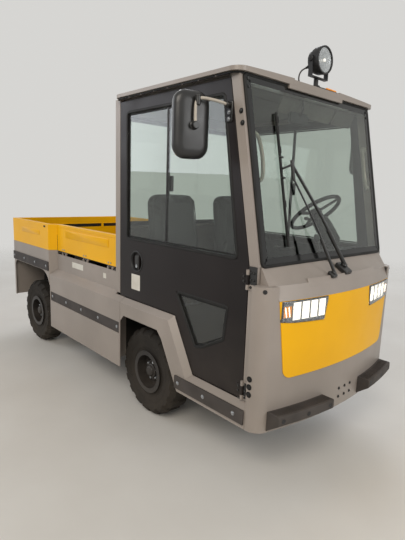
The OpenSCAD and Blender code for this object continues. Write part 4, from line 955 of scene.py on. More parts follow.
class TUG_OT_lamps(Operator):
    """Cells, covers and lenses of the headlamps, rear lamps and marker lamp"""

    bl_idname = "tug.lamps"
    bl_label = "Lamps"

    cover = ((540, 998), (215, 998), (240, 872), (455, 883), (540, 894))
    dish = [(66, 0.2), (65, 4.6), (56, 3.4), (40, 2.2), (20, 1.4), (9, 1.2), (9, 0.2)]
    bulb = [(0, 1), (8, 1), (8, 4), (6, 6), (0, 6.6)]
    glass = [(0, 8), (30, 7.6), (66, 6), (66, 7.5), (30, 10.2), (0, 11)]
    bezel = [(64, 5), (64, 9.5), (67, 11.5), (73, 11), (73.8, 8), (73.8, -8), (73, -9), (72, 0)]
    knob = [(0, 0), (15, 0), (15, 7), (12, 9), (6, 9), (5, 12), (0, 12)]

    def execute(self, context):
        cell = context.scene.tug_lamps.cell / MM
        lit, ambers, covers, studs = [], [], [], []
        for side in SIDES:
            for i in range(5):
                start = -530 + 60 * i
                low, high = (902 - 5 * i, 991) if i else (908, 978)
                outline = [(u * -side, v) for u, v in oblong(start + 1, start + cell + 1, low + 1, high - 1)]
                (lit if i else ambers).append((slab, rounded(outline, 5, 3), bow_plane, 1, 5.4, 1.2, 20))
                for share in (0.3, 0.7):
                    across = (start + cell * share) * -side
                    studs.append((bow_plane(across, (low + high) / 2, 5.6), Vector((1, across / BOW_R, 0))))
            edge = [(u * side, v) for u, v in self.cover]
            covers.append((slab, rounded(grown(edge, -3), 10), bow_plane, 8.2, 10.4, 1, 30))
        add("headlamp_cells", "lamp_clear", *lit)
        add("indicator_cells", "amber_lens", *ambers)
        add("headlamp_covers", "clear_cover", *covers)
        repeat("headlamp_studs", "bar", "lamp_stud", studs, (0.05, 0.004, 0.003))
        # Rear lamps: three stacked lenses on a black base, each with its ribs
        rear = across_plane(REAR_X)
        red, pale, base, ribs = [], [], [], []
        for side in SIDES:
            base.append((slab, oblong(side * 534, side * 626, 794, 936, 8), rear, 0, -9, 3))
            for lenses, low, high in ((red, 802, 838), (pale, 846, 880), (red, 888, 926)):
                lenses.append((slab, oblong(side * 543, side * 617, low, high, 6), rear, -8, -17, 4))
                heights = [low + 6 + k * (high - low - 12) / 5 for k in range(6)]
                ribs += [(at(REAR_X - 17, side * 580, z), BACK) for z in heights]
        add("rear_lamp_bases", "black_moulding", *base)
        add("rear_lenses_red", "lamp_red", *red)
        add("rear_lenses_amber", "amber_lens", *pale, slot="lamp_red")
        repeat("rear_lens_ribs", "bar", "lamp_red", ribs, (0.0012, 0.058, 0.0012))
        # Marker lamp in the roof's notch, and the work light's base
        add("marker_base", "black_moulding", (slab, oblong(758, 789, 92, 204, 6), at, 2101, 2107, 2))
        add("marker_lens", "amber_lens", (slab, oblong(761, 787, 98, 198, 9), at, 2106, 2118, 5))
        # Work light: chrome dish, bulb, glass and bezel; the clamp knobs hold its bracket
        face = at(814, 0, 2240)
        add("light_reflector", "chrome_plate", (turned, self.dish, face, AHEAD, 64))
        add("light_bulb", "lamp_clear", (turned, self.bulb, face, AHEAD))
        add("light_glass", "clear_cover", (turned, self.glass, face, AHEAD, 64))
        knobs = [(turned, self.knob, at(784, side * 80, 2240), Vector((0, side, 0)), 20) for side in SIDES]
        post = (rod, at(772, 0, 2102), at(772, 0, 2112), 24, 24)
        add("light_bezel", "black_moulding", (turned, self.bezel, face, AHEAD, 64), *knobs, post)
        return {"FINISHED"}


class TUG_OT_mirrors(Operator):
    """Mirror shells, glass, tubes, clamps and brackets"""

    bl_idname = "tug.mirrors"
    bl_label = "Mirrors"

    # The shell's outlines: how far each is grown, and its depth
    shell = ((-10, -8.5), (-10, -11), (-4, -13), (0, -11), (0, 2), (-4, 10), (-13, 18), (-27, 24), (-46, 27))
    arm = (
        (715, 634, 1925),
        (712, 664, 1930),
        (700, 706, 1936),
        (676, 756, 1941),
        (664, 778, 1934),
        (661, 788, 1912),
        (661, 790, 1870),
        (663, 789, 1816),
    )
    socket = [(0, 0), (22, 0), (22, 5), (18, 9), (18, 26), (15, 30), (0, 30)]

    def execute(self, context):
        sizes = context.scene.tug_mirrors
        wide, high, turn = sizes.width / MM / 2, sizes.height / MM / 2, sizes.turn
        outline = rounded(oblong(-wide, wide, -high, high), 66, 10)
        for side, word in SIDES.items():

            def place(u, v, w):
                across = 780 - w * sin(turn) - u * cos(turn)
                return at(620.1 + w * cos(turn) - u * sin(turn), side * across, 1820 + v)

            body = "door_" + word
            shell = (skin, [(grown(outline, by), depth) for by, depth in self.shell], place)
            add("mirror_shell_" + word, "satin_black", shell, body=body, replaces=("mirror_" + word,))
            glass = (slab, grown(outline, -11), place, -8.4, -10, 0.5)
            add("mirror_glass_" + word, "silvered_glass", glass, body=body)
            rim = (band, grown(outline, 0.6), 4, place, -10.5, -13.8, 1)
            add("mirror_rim_" + word, "chrome_plate", rim, body=body)
            arm = (tube, smooth_line([at(x, side * y, z) for x, y, z in self.arm], 5), 7.5, 14)
            add("mirror_tube_" + word, "arm_steel", arm, body=body, replaces=("mirror_arm_" + word,))
            start, end = place(0, -4, 26), place(0, -4, 58)
            add(
                "mirror_clamps_" + word,
                "satin_black",
                (slab, oblong(695, 736, 1846, 1944, 8), side_plane(side, DOOR_Y), -1, 9, 3),
                (rod, at(715, side * (DOOR_Y + 6), 1925), at(715, side * (DOOR_Y + 34), 1925), 15, 20),
                (turned, self.socket, start, end - start),
                (rod, at(664, side * 779, 1906), at(664, side * 779, 1954), 13, 20),
                body=body,
            )
            heads = [(at(715, side * (DOOR_Y + 9), z), Vector((0, side, 0))) for z in (1860, 1892)]
            repeat("mirror_bolts_" + word, "bolt", "pin_steel", heads, body=body)
        return {"FINISHED"}


def slope(piece, half, low):
    """A solid that falls from the windscreen's straight foot to the cover's bowed top edge, down to a height."""
    rows, top = [], 1072
    for k in range(25):
        y = half * (k / 12 - 1)
        edge = cover_plane(y, top, 0)
        crown = [at(SCREEN_FOOT, y, low), at(SCREEN_FOOT, y, BELT - 3), edge + Vector((-5, 0, 1.2)) * MM, edge]
        rows.append(crown + [cover_plane(y, min(low, top - 3), 0)])
    loft(piece, rows)


class TUG_OT_front(Operator):
    """Scuttle, step pads, roof lip and wiper"""

    bl_idname = "tug.front"
    bl_label = "Scuttle, steps and wiper"

    pivot = [(0, 0), (19, 0), (19, 10), (15, 14), (0, 14)]
    small_pivot = [(0, 0), (14, 0), (14, 8), (11, 11), (0, 11)]
    well = [(0, 0), (8.5, 0), (11, 0), (12, 1.6), (9, 1.4), (8.5, 0.8), (0, 0.8)]

    def execute(self, context):
        sizes = context.scene.tug_front
        lip = (slab, oblong(-340, 340, 1050, 1093, 4), cover_plane, -5, 0.6, 1.5, 30)
        slopes = (slope, SCREEN_HALF, 1072.6), (slope, 556, 1000.6)
        add("scuttle_panel", "body_grey", *slopes, lip, replaces=("scuttle", "front_cover"))
        add("roof_lip", "body_grey", (slab, oblong(778, 792, -258, 258), at, 2054, 2078, 2), edge=1)
        add("roof_seal", "seal_rubber", (band, oblong(-316, 776, -640, 640, 56), 10, at, 2066, 2074.6, 2))

        # Step pads: wedges with a flat tread, ribbed on top
        deep, rise = sizes.step_depth / MM, sizes.step_rise / MM
        foot, pads, wells, ribs, bolts = 391, [], [], [], []
        out = [(0, -58), (deep - 3, -3), (deep, 2), (deep, rise - 7), (deep - 2, rise - 2), (deep - 7, rise), (0, rise)]
        for side in SIDES:
            across = [side * (190 + k * 395 / 16) for k in range(17)]
            pads.append((loft, [[bow_plane(y, foot + up, reach) for reach, up in out] for y in across]))
            for y in (220, 387.5, 555):
                aim = Vector((1, side * y / BOW_R, 0))
                wells.append((turned, self.well, bow_plane(side * y, foot + 21, deep - 0.8), aim))
                bolts.append((bow_plane(side * y, foot + 21, deep - 3), aim))
            across = [side * (204 + k * 10.5) for k in range(36)]
            ribs += [(bow_plane(y, foot + rise + 0.4, deep * 0.48), UP) for y in across]
        add("step_pads", "strip_rubber", *pads, replaces=("step_blocks",), edge=2.5)
        add("step_wells", "black_moulding", *wells, slot="strip_rubber")
        repeat("step_ribs", "bar", "strip_rubber", ribs, (deep * 0.66 * MM, 0.0042, 0.0022))
        repeat("step_bolts", "bolt", "satin_black", bolts, (0.006, 0.002, 0.0075), slot="chassis_black")
        self.wiper(sizes.blade_length / MM)
        return {"FINISHED"}

    def wiper(self, blade):
        # The scuttle's slope carries the two arm heads
        fall = atan2(BELT - 3 - 1073, BOW_R + BOW_X - 25 - SCREEN_FOOT)

        def deck(u, v, w):
            along = SCREEN_FOOT + u * cos(fall) + w * sin(fall)
            return at(along, v, BELT - 3 - u * sin(fall) + w * cos(fall))

        reach, normal = 145, deck(0, 0, 1) - deck(0, 0, 0)
        tip, joint = screen_plane(-303, 506, 26), screen_plane(-307, 442, 26)
        arms = [
            (slab, oblong(reach * 0.4, reach, -26, 38, 10), deck, 0, 26, 5),
            (slab, oblong(reach * 0.74, reach * 1.04, -160, -114, 9), deck, 0, 22, 5),
            (turned, self.pivot, deck(reach * 0.62, 12, 24), normal),
            (turned, self.small_pivot, deck(reach * 0.88, -136, 20), normal),
        ]
        for start, end, thick in ((deck(reach * 0.62, 12, 34), tip, 8), (deck(reach * 0.88, -136, 28), joint, 5)):
            middle = start + (end - start) * 0.5 + Vector((0.012, 0, 0))
            arms.append((tube, smooth_line([start, middle, end], 8), thick, 12))
            arms.append((rod, start, start + (end - start) * 0.36 + Vector((0.008, 0, 0)), thick + 3.5))
        arms.append((rod, screen_plane(-301, 422, 26), screen_plane(-303, 530, 26), 9))
        arms.append((rod, tip, screen_plane(-383, 482, 22), 6))
        arms += [(slab, oblong(-393, -373, v, v + 10, 3), screen_plane, 14, 30, 2) for v in (430, 534)]
        add("wiper_arms", "satin_black", *arms, replaces=("wiper",))
        low, high = 82, 82 + blade
        edges = (oblong(-387, -382, low + 4, high - 4), 14), (oblong(-386, -384, low + 4, high - 4), 6.5)
        clips = [low + (high - low) * share for share in (0.08, 0.3, 0.7, 0.92)]
        add(
            "wiper_blade",
            "seal_rubber",
            (slab, oblong(-391, -378, low, high, 5), screen_plane, 14, 20, 1.5),
            (skin, edges, screen_plane),
            *[(slab, oblong(-393, -376, v, v + 34, 4), screen_plane, 12, 23, 2) for v in clips],
            slot="trim_plastic",
        )


class TUG_OT_wheels(Operator):
    """Hub caps, nuts, valves and the tyres' side rings"""

    bl_idname = "tug.wheels"
    bl_label = "Wheel fittings"

    cap = [(0, 46), (40, 46), (44, 30), (48.5, 24), (50, 36), (47, 50)]
    cap += [(38, 54), (36, 62), (30, 68), (14, 71), (0, 71.6)]
    flange = [(88, 4), (93, 12.4), (98, 13), (103, 12.6), (104, 4)]
    valve = [(0, 0), (5, 0), (5, 18), (3.6, 20), (4.4, 22), (4.4, 30), (0, 31)]
    # Radius and depth of each ring on the tyre's walls
    rings = ((166, 70.4), (204, 78.6), (214, 80.8), (240, 86.2))

    def execute(self, context):
        count = context.scene.tug_wheels.nuts
        spokes = [2 * pi * k / count + 0.3 for k in range(count)]
        for x, end in ((0, "front"), (-WHEELBASE, "rear")):
            for side, word in SIDES.items():
                name, out = f"{end}_{word}", Vector((0, side, 0))
                body, hub = "wheel_" + name, at(x, side * WHEEL_Y, AXLE_Z)
                hub_parts = [(turned, profile, hub, out, 48) for profile in (self.cap, self.flange)]
                add("hub_cap_" + name, "rim_steel", *hub_parts, body=body)
                nuts = [(hub + Vector((cos(a), 0, sin(a))) * 0.0575 + out * 0.0338, out) for a in spokes]
                repeat("wheel_nuts_" + name, "bolt", "pin_steel", nuts, (0.0088, 0.011, 0.0105), body)
                valve = (turned, self.valve, hub + Vector((0.094, 0, 0.028)) + out * 0.01, out, 16)
                add("valve_" + name, "seal_rubber", valve, body=body, slot="rim_steel")
                walls = []
                for way in (-1, 1):
                    for r, d in self.rings:
                        ring = [(r - 3, d - 3), (r - 2, d + 1.4), (r + 2, d + 2.2), (r + 4, d - 1)]
                        walls.append((turned, ring, hub, out * way, 64))
                add("tyre_rings_" + name, "tyre_rubber", *walls, body=body)
        return {"FINISHED"}


class TUG_OT_fasteners(Operator):
    """Bolts, rivets, plugs and labels of the body"""

    bl_idname = "tug.fasteners"
    bl_label = "Fasteners and labels"

    def execute(self, context):
        strips, hinges, rivets, plugs, rear, pillars, corners = [], [], [], [], [], [], []
        slant = sqrt(0.5)
        for side, word in SIDES.items():
            place, out = side_plane(side), Vector((0, side, 0))
            strips += [(place(x, 388, 660), out) for x in (422, 643, 875)]
            strips += [(place(x, 552, 647), out) for x in (-1350, -1084, -816, -548, -281)]
            strips += [(place(x, 810, 660), out) for x in (-2215, -1960, -1700, -1448)]
            for z in (512, 1090):
                hinges += [(place(x, z + dz, 619), out) for x in (914, 931) for dz in (-36, 0, 36)]
            rivets += [(place(x, 906, DECK_Y), out) for x in range(-1330, -370, 120)]
            plugs += [(place(966, z, 649.4), out) for z in (522, 562, 603)]
            rivets += [(place(x, 2068, 637), out) for x in range(-280, 760, 130)]
            grid = ((560, 700), (300, 700), (60, 700), (560, 450), (360, 450))
            rear += [(at(REAR_X, side * y, z), BACK) for y, z in grid]
            rear += [(at(REAR_X - 20, side * 70, z), BACK) for z in (310, 400, 490)]
            pillars += [(place(x, z, DOOR_Y + 0.5), out) for x, z in ((789, 1892), (801, 1836))]
            # A bolt holds each corner's top edge
            corner = at(957 + 80 * slant, side * (570 + 80 * slant), 1050)
            corners.append((corner, Vector((slant, side * slant, 0))))
            leaf = [(place(866, z, DOOR_Y + 6), out) for z in (500, 524, 1078, 1102)]
            sizes, body = (0.006, 0.004, 0.008), "door_" + word
            repeat("door_hinge_bolts_" + word, "bolt", "satin_black", leaf, sizes, body, "door_black")
            board = [(place(x + dx, 972, DECK_Y), out) for x in (-1237, -856, -476) for dx in (-17, 17)]
            sizes, body = (0.006, 0.0035, 0.007, 16), "side_board_" + word
            repeat("board_hinge_bolts_" + word, "bolt", "pin_steel", board, sizes, body)
            # Two blank labels on the fixed wall below the boards
            labels = oblong(-1080, -890, 846, 892, 3), oblong(-570, -528, 846, 884, 3)
            labels = [(slab, outline, side_plane(side, DECK_Y), -0.5, 0.4, 0.2) for outline in labels]
            add("wall_label_" + word, "label_vinyl", *labels)
            # Black caps over the pillars' feet
            caps = oblong(897, 948, 1066, 1157, 4), oblong(897, 948, 482, 542, 4)
            caps = [(slab, outline, side_plane(side, DOOR_Y), -0.5, 6.2, 1.5) for outline in caps]
            add("pillar_caps_" + word, "satin_black", *caps, slot="chassis_black")
        screen = [(screen_plane(side * 566, v, GLASS_T + 1), AHEAD) for side in SIDES for v in (905, 868)]
        screen += [(bow_plane(y, z, 1), AHEAD) for y in (-30, 30, 90) for z in (380, 430)]
        for name, look, places, sizes, slot in (
            ("strip_bolts", "pin_steel", strips, (0.009, 0.003, 0.012, 16), None),
            ("hinge_bolts", "satin_black", hinges, (0.0055, 0.004, 0.007), "chassis_black"),
            ("rivets", "body_grey", rivets, (0.004, 0.0015, 0.005, 16), None),
            ("corner_plugs", "seal_rubber", plugs, (0.013, 0.001, 0.0155, 24), None),
            ("rear_bolts", "pin_steel", rear, (0.0095, 0.007, 0.014), None),
            ("front_bolts", "satin_black", screen, (0.0065, 0.004, 0.009), "chassis_black"),
            ("pillar_bolts", "satin_black", pillars, (0.009, 0.007, 0.013), "chassis_black"),
            ("corner_bolts", "satin_black", corners, (0.0075, 0.005, 0.011), "chassis_black"),
        ):
            repeat(name, "bolt", look, places, sizes, slot=slot)
        return {"FINISHED"}


class TUG_OT_cab(Operator):
    """Headliner, visors, dashboard fittings, levers, mats and the grab handle"""

    bl_idname = "tug.cab"
    bl_label = "Cab interior"

    foot = [(0, 0), (20, 0), (20, 5), (14, 10), (0, 10)]
    handle = (
        (838, 552, 1560),
        (846, 528, 1566),
        (852, 508, 1592),
        (838, 500, 1680),
        (816, 508, 1770),
        (800, 528, 1800),
        (790, 552, 1806),
    )
    gaiter = [(0, 0), (34, 0), (36, 10), (26, 26), (12, 30), (0, 30)]
    lever_knob = [(0, 0), (13, 4), (20, 18), (21, 34), (15, 50), (0, 56)]
    side_knob = [(0, 0), (26, 0), (26, 6), (20, 9), (17, 20), (0, 21)]
    cowl = [(0, -250), (40, -250), (52, -236), (58, -120), (54, -66), (44, -58), (0, -58)]
    stalk_end = [(0, 0), (9, 0), (11, 10), (10, 34), (0, 36)]
    boss = [(0, 11), (34, 11), (40, 13), (38, 20), (26, 26), (0, 28)]

    def execute(self, context):
        add(
            "headliner",
            "moulded_felt",
            (slab, oblong(-288, 640, -544, 544, 40), at, 2070, 2052, 6),
            (slab, oblong(-180, 520, -470, 470, 60), at, 2056, 2044, 8),
        )
        studs = [(at(x, y, 2051.5), DOWN) for x in (-250, 175, 600) for y in (-505, 0, 505)]
        repeat("headliner_studs", "bolt", "black_moulding", studs, (0.009, 0.002, 0.012, 16))
        # Visors hang from the header; a small mirror stands between them
        visors = []
        for y in (90, 330, -210):
            low, high = at(672, y, 1950), at(706, y, 2040)
            lean, across = (high - low).normalized(), Vector((0, 1, 0))

            def visor(u, v, w, low=low, lean=lean, across=across, face=lean.cross(across)):
                return low + (across * u + lean * v + face * w) * MM

            visors.append((slab, oblong(0, 225 if y > 0 else 330, 0, 92, 18), visor, -5, 5, 4))
        add("visors", "moulded_felt", *visors, (rod, at(704, -230, 2040), at(704, 560, 2040), 5))
        stem = smooth_line([at(698, -30, 1950), at(716, -30, 1985), at(712, -30, 2034)], 5)
        mirror = (slab, oblong(-120, 60, 1905, 1970, 22), across_plane(690), -10, 8, 7)
        add("cab_mirror", "black_moulding", mirror, (tube, stem, 6))
        glass = (slab, oblong(-114, 54, 1911, 1964, 18), across_plane(690), -10.2, -11.4, 0.5)
        add("cab_mirror_glass", "silvered_glass", glass)
        # Pale grab handle inside each front pillar
        handles = []
        for side in SIDES:
            handles.append((tube, smooth_line([at(x, side * y, z) for x, y, z in self.handle], 5), 10, 14))
            for x, y, z in (self.handle[0], self.handle[-1]):
                handles.append((turned, self.foot, at(x, side * 557, z), Vector((0, -side, 0)), 20))
        add("grab_handles", "arm_steel", *handles)
        self.dashboard()
        self.column()
        self.floor(context.scene.tug_cab.rib_gap)
        # Rear wall trim
        trim = (slab, oblong(-540, 540, 812, 1235, 24), across_plane(-319), -0.5, 7, 4)
        add("rear_wall_trim", "moulded_felt", trim)
        return {"FINISHED"}

    def dashboard(self):
        """Instruments on the binnacle, switches and the drive lever beside the wheel"""
        lean = Vector((-24, 0, 84)).normalized()

        def dials(u, v, w):
            return at(764, 350 + u, 1090) + (lean * v + Vector((-lean.z, 0, lean.x)) * w) * MM

        add("instrument_panel", "black_moulding", (slab, oblong(-150, 150, 8, 80, 14), dials, -2, 8, 4))
        add("display", "glass_border", (slab, oblong(-50, 50, 18, 70, 6), dials, 7.5, 10, 1))
        aim = dials(0, 0, 1) - dials(0, 0, 0)
        keys = [(dials(u, v, 8.6), aim) for u in (-128, -106, -84, 84, 106, 128) for v in (28, 56)]
        repeat("instrument_keys", "bar", "label_vinyl", keys, (0.015, 0.012, 0.004), slot="trim_plastic")
        stem = smooth_line([at(846, 60, 1140), at(838, 60, 1190), at(826, 60, 1236)], 6)
        add(
            "drive_lever",
            "satin_black",
            (turned, self.gaiter, at(846, 60, 1122), Vector((-0.25, 0, 1)), 28),
            (tube, stem, 7, 12),
            (turned, self.lever_knob, at(827, 60, 1228), Vector((-0.25, 0, 1))),
            (turned, self.side_knob, at(816, 160, 1122), Vector((-0.2, 0, 1))),
        )
        keys = [(slab, oblong(814, 850, y, y + 44, 6), at, 1128, 1139, 4) for y in (-470, -410, -350, -290)]
        add("switch_tray", "black_moulding", *keys, (slab, oblong(802, 900, -500, -120, 16), at, 1120, 1131, 3))

    def column(self):
        """Column cowl, stalk and boss"""
        wheel, tilt = at(600, 350, 1390), radians(40)
        axis = Vector((-sin(tilt), 0, cos(tilt)))
        start = wheel - axis * 0.08
        stalk = smooth_line([start, start + Vector((0.0, -0.09, 0.012)), start + Vector((0.01, -0.17, 0.03))], 6)
        add(
            "column_cowl",
            "black_moulding",
            (turned, self.cowl, wheel, axis, 28),
            (tube, stalk, 6, 12),
            (turned, self.stalk_end, start + Vector((0.01, -0.165, 0.028)), Vector((0, -1, 0.1)), 16),
        )
        add("wheel_boss", "satin_black", (turned, self.boss, wheel, axis, 40), body="steering_wheel")
        side = axis.orthogonal().normalized()
        rim = circle(wheel - axis * 0.0128, side, axis.cross(side), 175, 72)
        grips, sizes = [(point, -axis) for point in rim], (0.004, 0.004, 0.003)
        repeat("wheel_grips", "bar", "black_moulding", grips, sizes, "steering_wheel")

    def floor(self, rib_gap):
        """Ribbed rubber mat on the floor, ribs on the pedals, and plates that close the floor under the doors"""
        add("floor_mat", "strip_rubber", (slab, oblong(440, 838, -545, 545, 20), at, 455.2, 460, 2))
        ribs = [(at(x, 0, 460.4), UP) for x in range(460, 830, rib_gap)]
        repeat("mat_ribs", "bar", "strip_rubber", ribs, (0.006, 1.04, 0.003))
        aim = Vector((-150, 0, 35)).normalized()
        pads = [(at(782 + k * 4.2, y, 492 + k * 18), aim) for y in (265, 445) for k in range(7)]
        repeat("pedal_ribs", "bar", "black_moulding", pads, (0.005, 0.062, 0.004), slot="strip_rubber")
        ledge = [(-228, LEDGE_Z), (300 + LEDGE_SHIFT, LEDGE_Z), (478 + LEDGE_SHIFT, 453), (838, 453)]
        under = [(x, z - 4) for x, z in ledge] + [(x - 2, z - 10) for x, z in reversed(ledge)]
        plates = [(slab, under, side_plane(side), 570, 611, 0.5) for side in SIDES]
        add("sill_plates", "chassis_black", *plates)


class TUG_OT_seats(Operator):
    """Padded seats: a cushion and a backrest each, swelled as cloth, with piping, seams, base and belt"""

    bl_idname = "tug.seats"
    bl_label = "Seats"

    hub = [(0, 0), (30, 0), (32, 4), (30, 14), (20, 17), (0, 17)]
    lever = ((0, 0.012, 0), (0.05, 0.016, 0.006), (0.13, 0.016, -0.004))

    # The pads' mesh size and greatest swelling in metres, and the frames that they swell for
    voxel, most_swell, frames = 0.006, 0.018, 20
    # Points of the cushion below this height are held
    pan_height = 0.9
    cloth = {
        "use_pressure": True,
        "uniform_pressure_force": 4,
        "vertex_group_mass": "held",
        "tension_stiffness": 18,
        "compression_stiffness": 18,
        "bending_stiffness": 2,
    }

    def swell(self, name, loops, place, held):
        """A closed cover swelled by pressure from a slightly smaller shape; held says which points stay."""
        shape = bmesh.new()
        skin(shape, loops, place)
        bmesh.ops.recalc_face_normals(shape, faces=shape.faces)
        mesh = bpy.data.meshes.new(name)
        shape.to_mesh(mesh)
        shape.free()
        pad = shown(name, mesh)
        remesh = pad.modifiers.new("remesh", "REMESH")
        remesh.mode = "VOXEL"
        remesh.voxel_size = self.voxel
        fine = settled(pad)
        pad.modifiers.clear()
        pad.data = fine
        first = [v.co.copy() for v in fine.vertices]
        pins = pad.vertex_groups.new(name="held")
        pins.add([i for i, point in enumerate(first) if held(point)], 1.0, "REPLACE")
        cloth = pad.modifiers.new("cloth", "CLOTH")
        for label, value in self.cloth.items():
            setattr(cloth.settings, label, value)
        cloth.settings.effector_weights.gravity = 0
        cloth.collision_settings.use_self_collision = False
        cloth.point_cache.frame_start, cloth.point_cache.frame_end = 1, self.frames
        scene = bpy.context.scene
        for frame_number in range(1, self.frames + 1):
            scene.frame_set(frame_number)
        evaluated = pad.evaluated_get(bpy.context.evaluated_depsgraph_get())
        puffed = bpy.data.meshes.new_from_object(evaluated)
        pad.modifiers.clear()
        scene.frame_set(1)
        for point, vertex in zip(first, puffed.vertices):
            move = vertex.co - point
            if move.length > self.most_swell:
                vertex.co = point + move.normalized() * self.most_swell
        pad.data = puffed
        pad.vertex_groups.clear()
        pad.data.shade_smooth()
        return pad

    def sewn(self, points, pad, shift):
        """A closed line drawn onto a pad's surface, then moved to its seat."""
        tree = BVHTree.FromObject(pad, bpy.context.evaluated_depsgraph_get())
        line = []
        for point in points:
            spot = tree.find_nearest(point)[0]
            if not line or (spot - line[-1]).length > 2 * MM:
                line.append(spot)
        return [point + shift for point in line + line[:1]]

    def execute(self, context):
        half = context.scene.tug_seats.width / MM / 2
        lean = radians(9)
        ahead = Vector((cos(lean), 0, sin(lean)))

        def back_plane(u, v, w):
            """Places (across, up the backrest, ahead of its middle)."""
            return at(-45 - v * sin(lean) + w * cos(lean), u, 945 + v * cos(lean) + w * sin(lean))

        seat = rounded(oblong(-82, 380, -half + 10, half - 10), 60, 8)
        lower = ((-18, 896), (-6, 902), (0, 925), (0, 958), (-6, 980), (-22, 992))
        rest = rounded([(-half + 12, 20), (half - 12, 20), (half - 26, 540), (-half + 26, 540)], 74, 8)
        upper = ((-18, -34), (-5, -26), (0, -8), (0, 12), (-6, 28), (-22, 37))
        lower, upper = (
            [(grown(outline, by) if by else outline, height) for by, height in loops]
            for outline, loops in ((seat, lower), (rest, upper))
        )
        cushion = self.swell("cushion", lower, at, lambda p: p.z < self.pan_height)
        behind = back_plane(0, 0, -22)
        backrest = self.swell("backrest", upper, back_plane, lambda p: (p - behind).dot(ahead) < 0)

        for side, word in SIDES.items():
            shift, y = Vector((0, side * 0.3, 0)), side * 300
            for pad, label, outline, plane, level in (
                (cushion, "cushion", seat, at, 974),
                (backrest, "backrest", rest, back_plane, 26),
            ):
                copy = pad.data.copy()
                copy.transform(Matrix.Translation(shift))
                copy.materials.append(MATERIALS["seat_vinyl"])
                piece = shown(f"seat_{label}_{word}", copy)
                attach(piece, "chassis")
                for inset, radius, above, kind in ((4, 3.4, 0, "piping"), (62, 2.2, 60, "seam")):
                    points = [plane(p[0], p[1], level + above) for p in grown(outline, -inset)]
                    line = self.sewn(points, pad, shift)
                    add(f"{label}_{kind}_{word}", "seat_thread", (tube, line, radius, 8))
            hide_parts("seat_" + word)
            # Base with its rubber bellows, slide rails and the recliner's lever
            folds = []
            for k in range(7):
                out = 6 * (k % 2)
                folds.append((oblong(-56 - out, 286 + out, y - 168 - out, y + 168 + out, 26), 812 + k * 12.5))
            add("seat_bellows_" + word, "strip_rubber", (skin, folds, at), slot="seat_vinyl")
            rails = [(slab, oblong(-86, 300, y + u - 14, y + u + 14), at, 800.3, 812, 2) for u in (-150, 150)]
            pan = (slab, oblong(-80, 372, y - half + 16, y + half - 16, 30), at, 885, 897, 3)
            add("seat_frame_" + word, "satin_black", *rails, pan, slot="chassis_black")
            hinge = at(-40, y + side * (half - 6), 936)
            lever = smooth_line([hinge + Vector((u, side * v, w)) for u, v, w in self.lever], 5)
            hub = (turned, self.hub, hinge, Vector((0, side, 0)))
            add("recliner_" + word, "black_moulding", hub, (tube, lever, 7, 10))
            # Belt: a strap from the reel behind the seat, with its buckle
            inner, weave = y - side * (half - 4), ((-1.2, -22), (1.2, -22), (1.2, 22), (-1.2, 22))
            strap = ((-96, 1010), (-60, 985), (20, 1012), (60, 1016))
            strap = [[at(x, inner + dy, z + dz) for dy, dz in weave] for x, z in strap]
            add("belt_" + word, "belt_webbing", (loft, strap))
            buckle = (slab, oblong(52, 100, 992, 1040, 8), side_plane(-side), half - 314, half - 294, 4)
            add("buckle_" + word, "black_moulding", buckle)
        for pad in (cushion, backrest):
            bpy.data.objects.remove(pad)
        return {"FINISHED"}


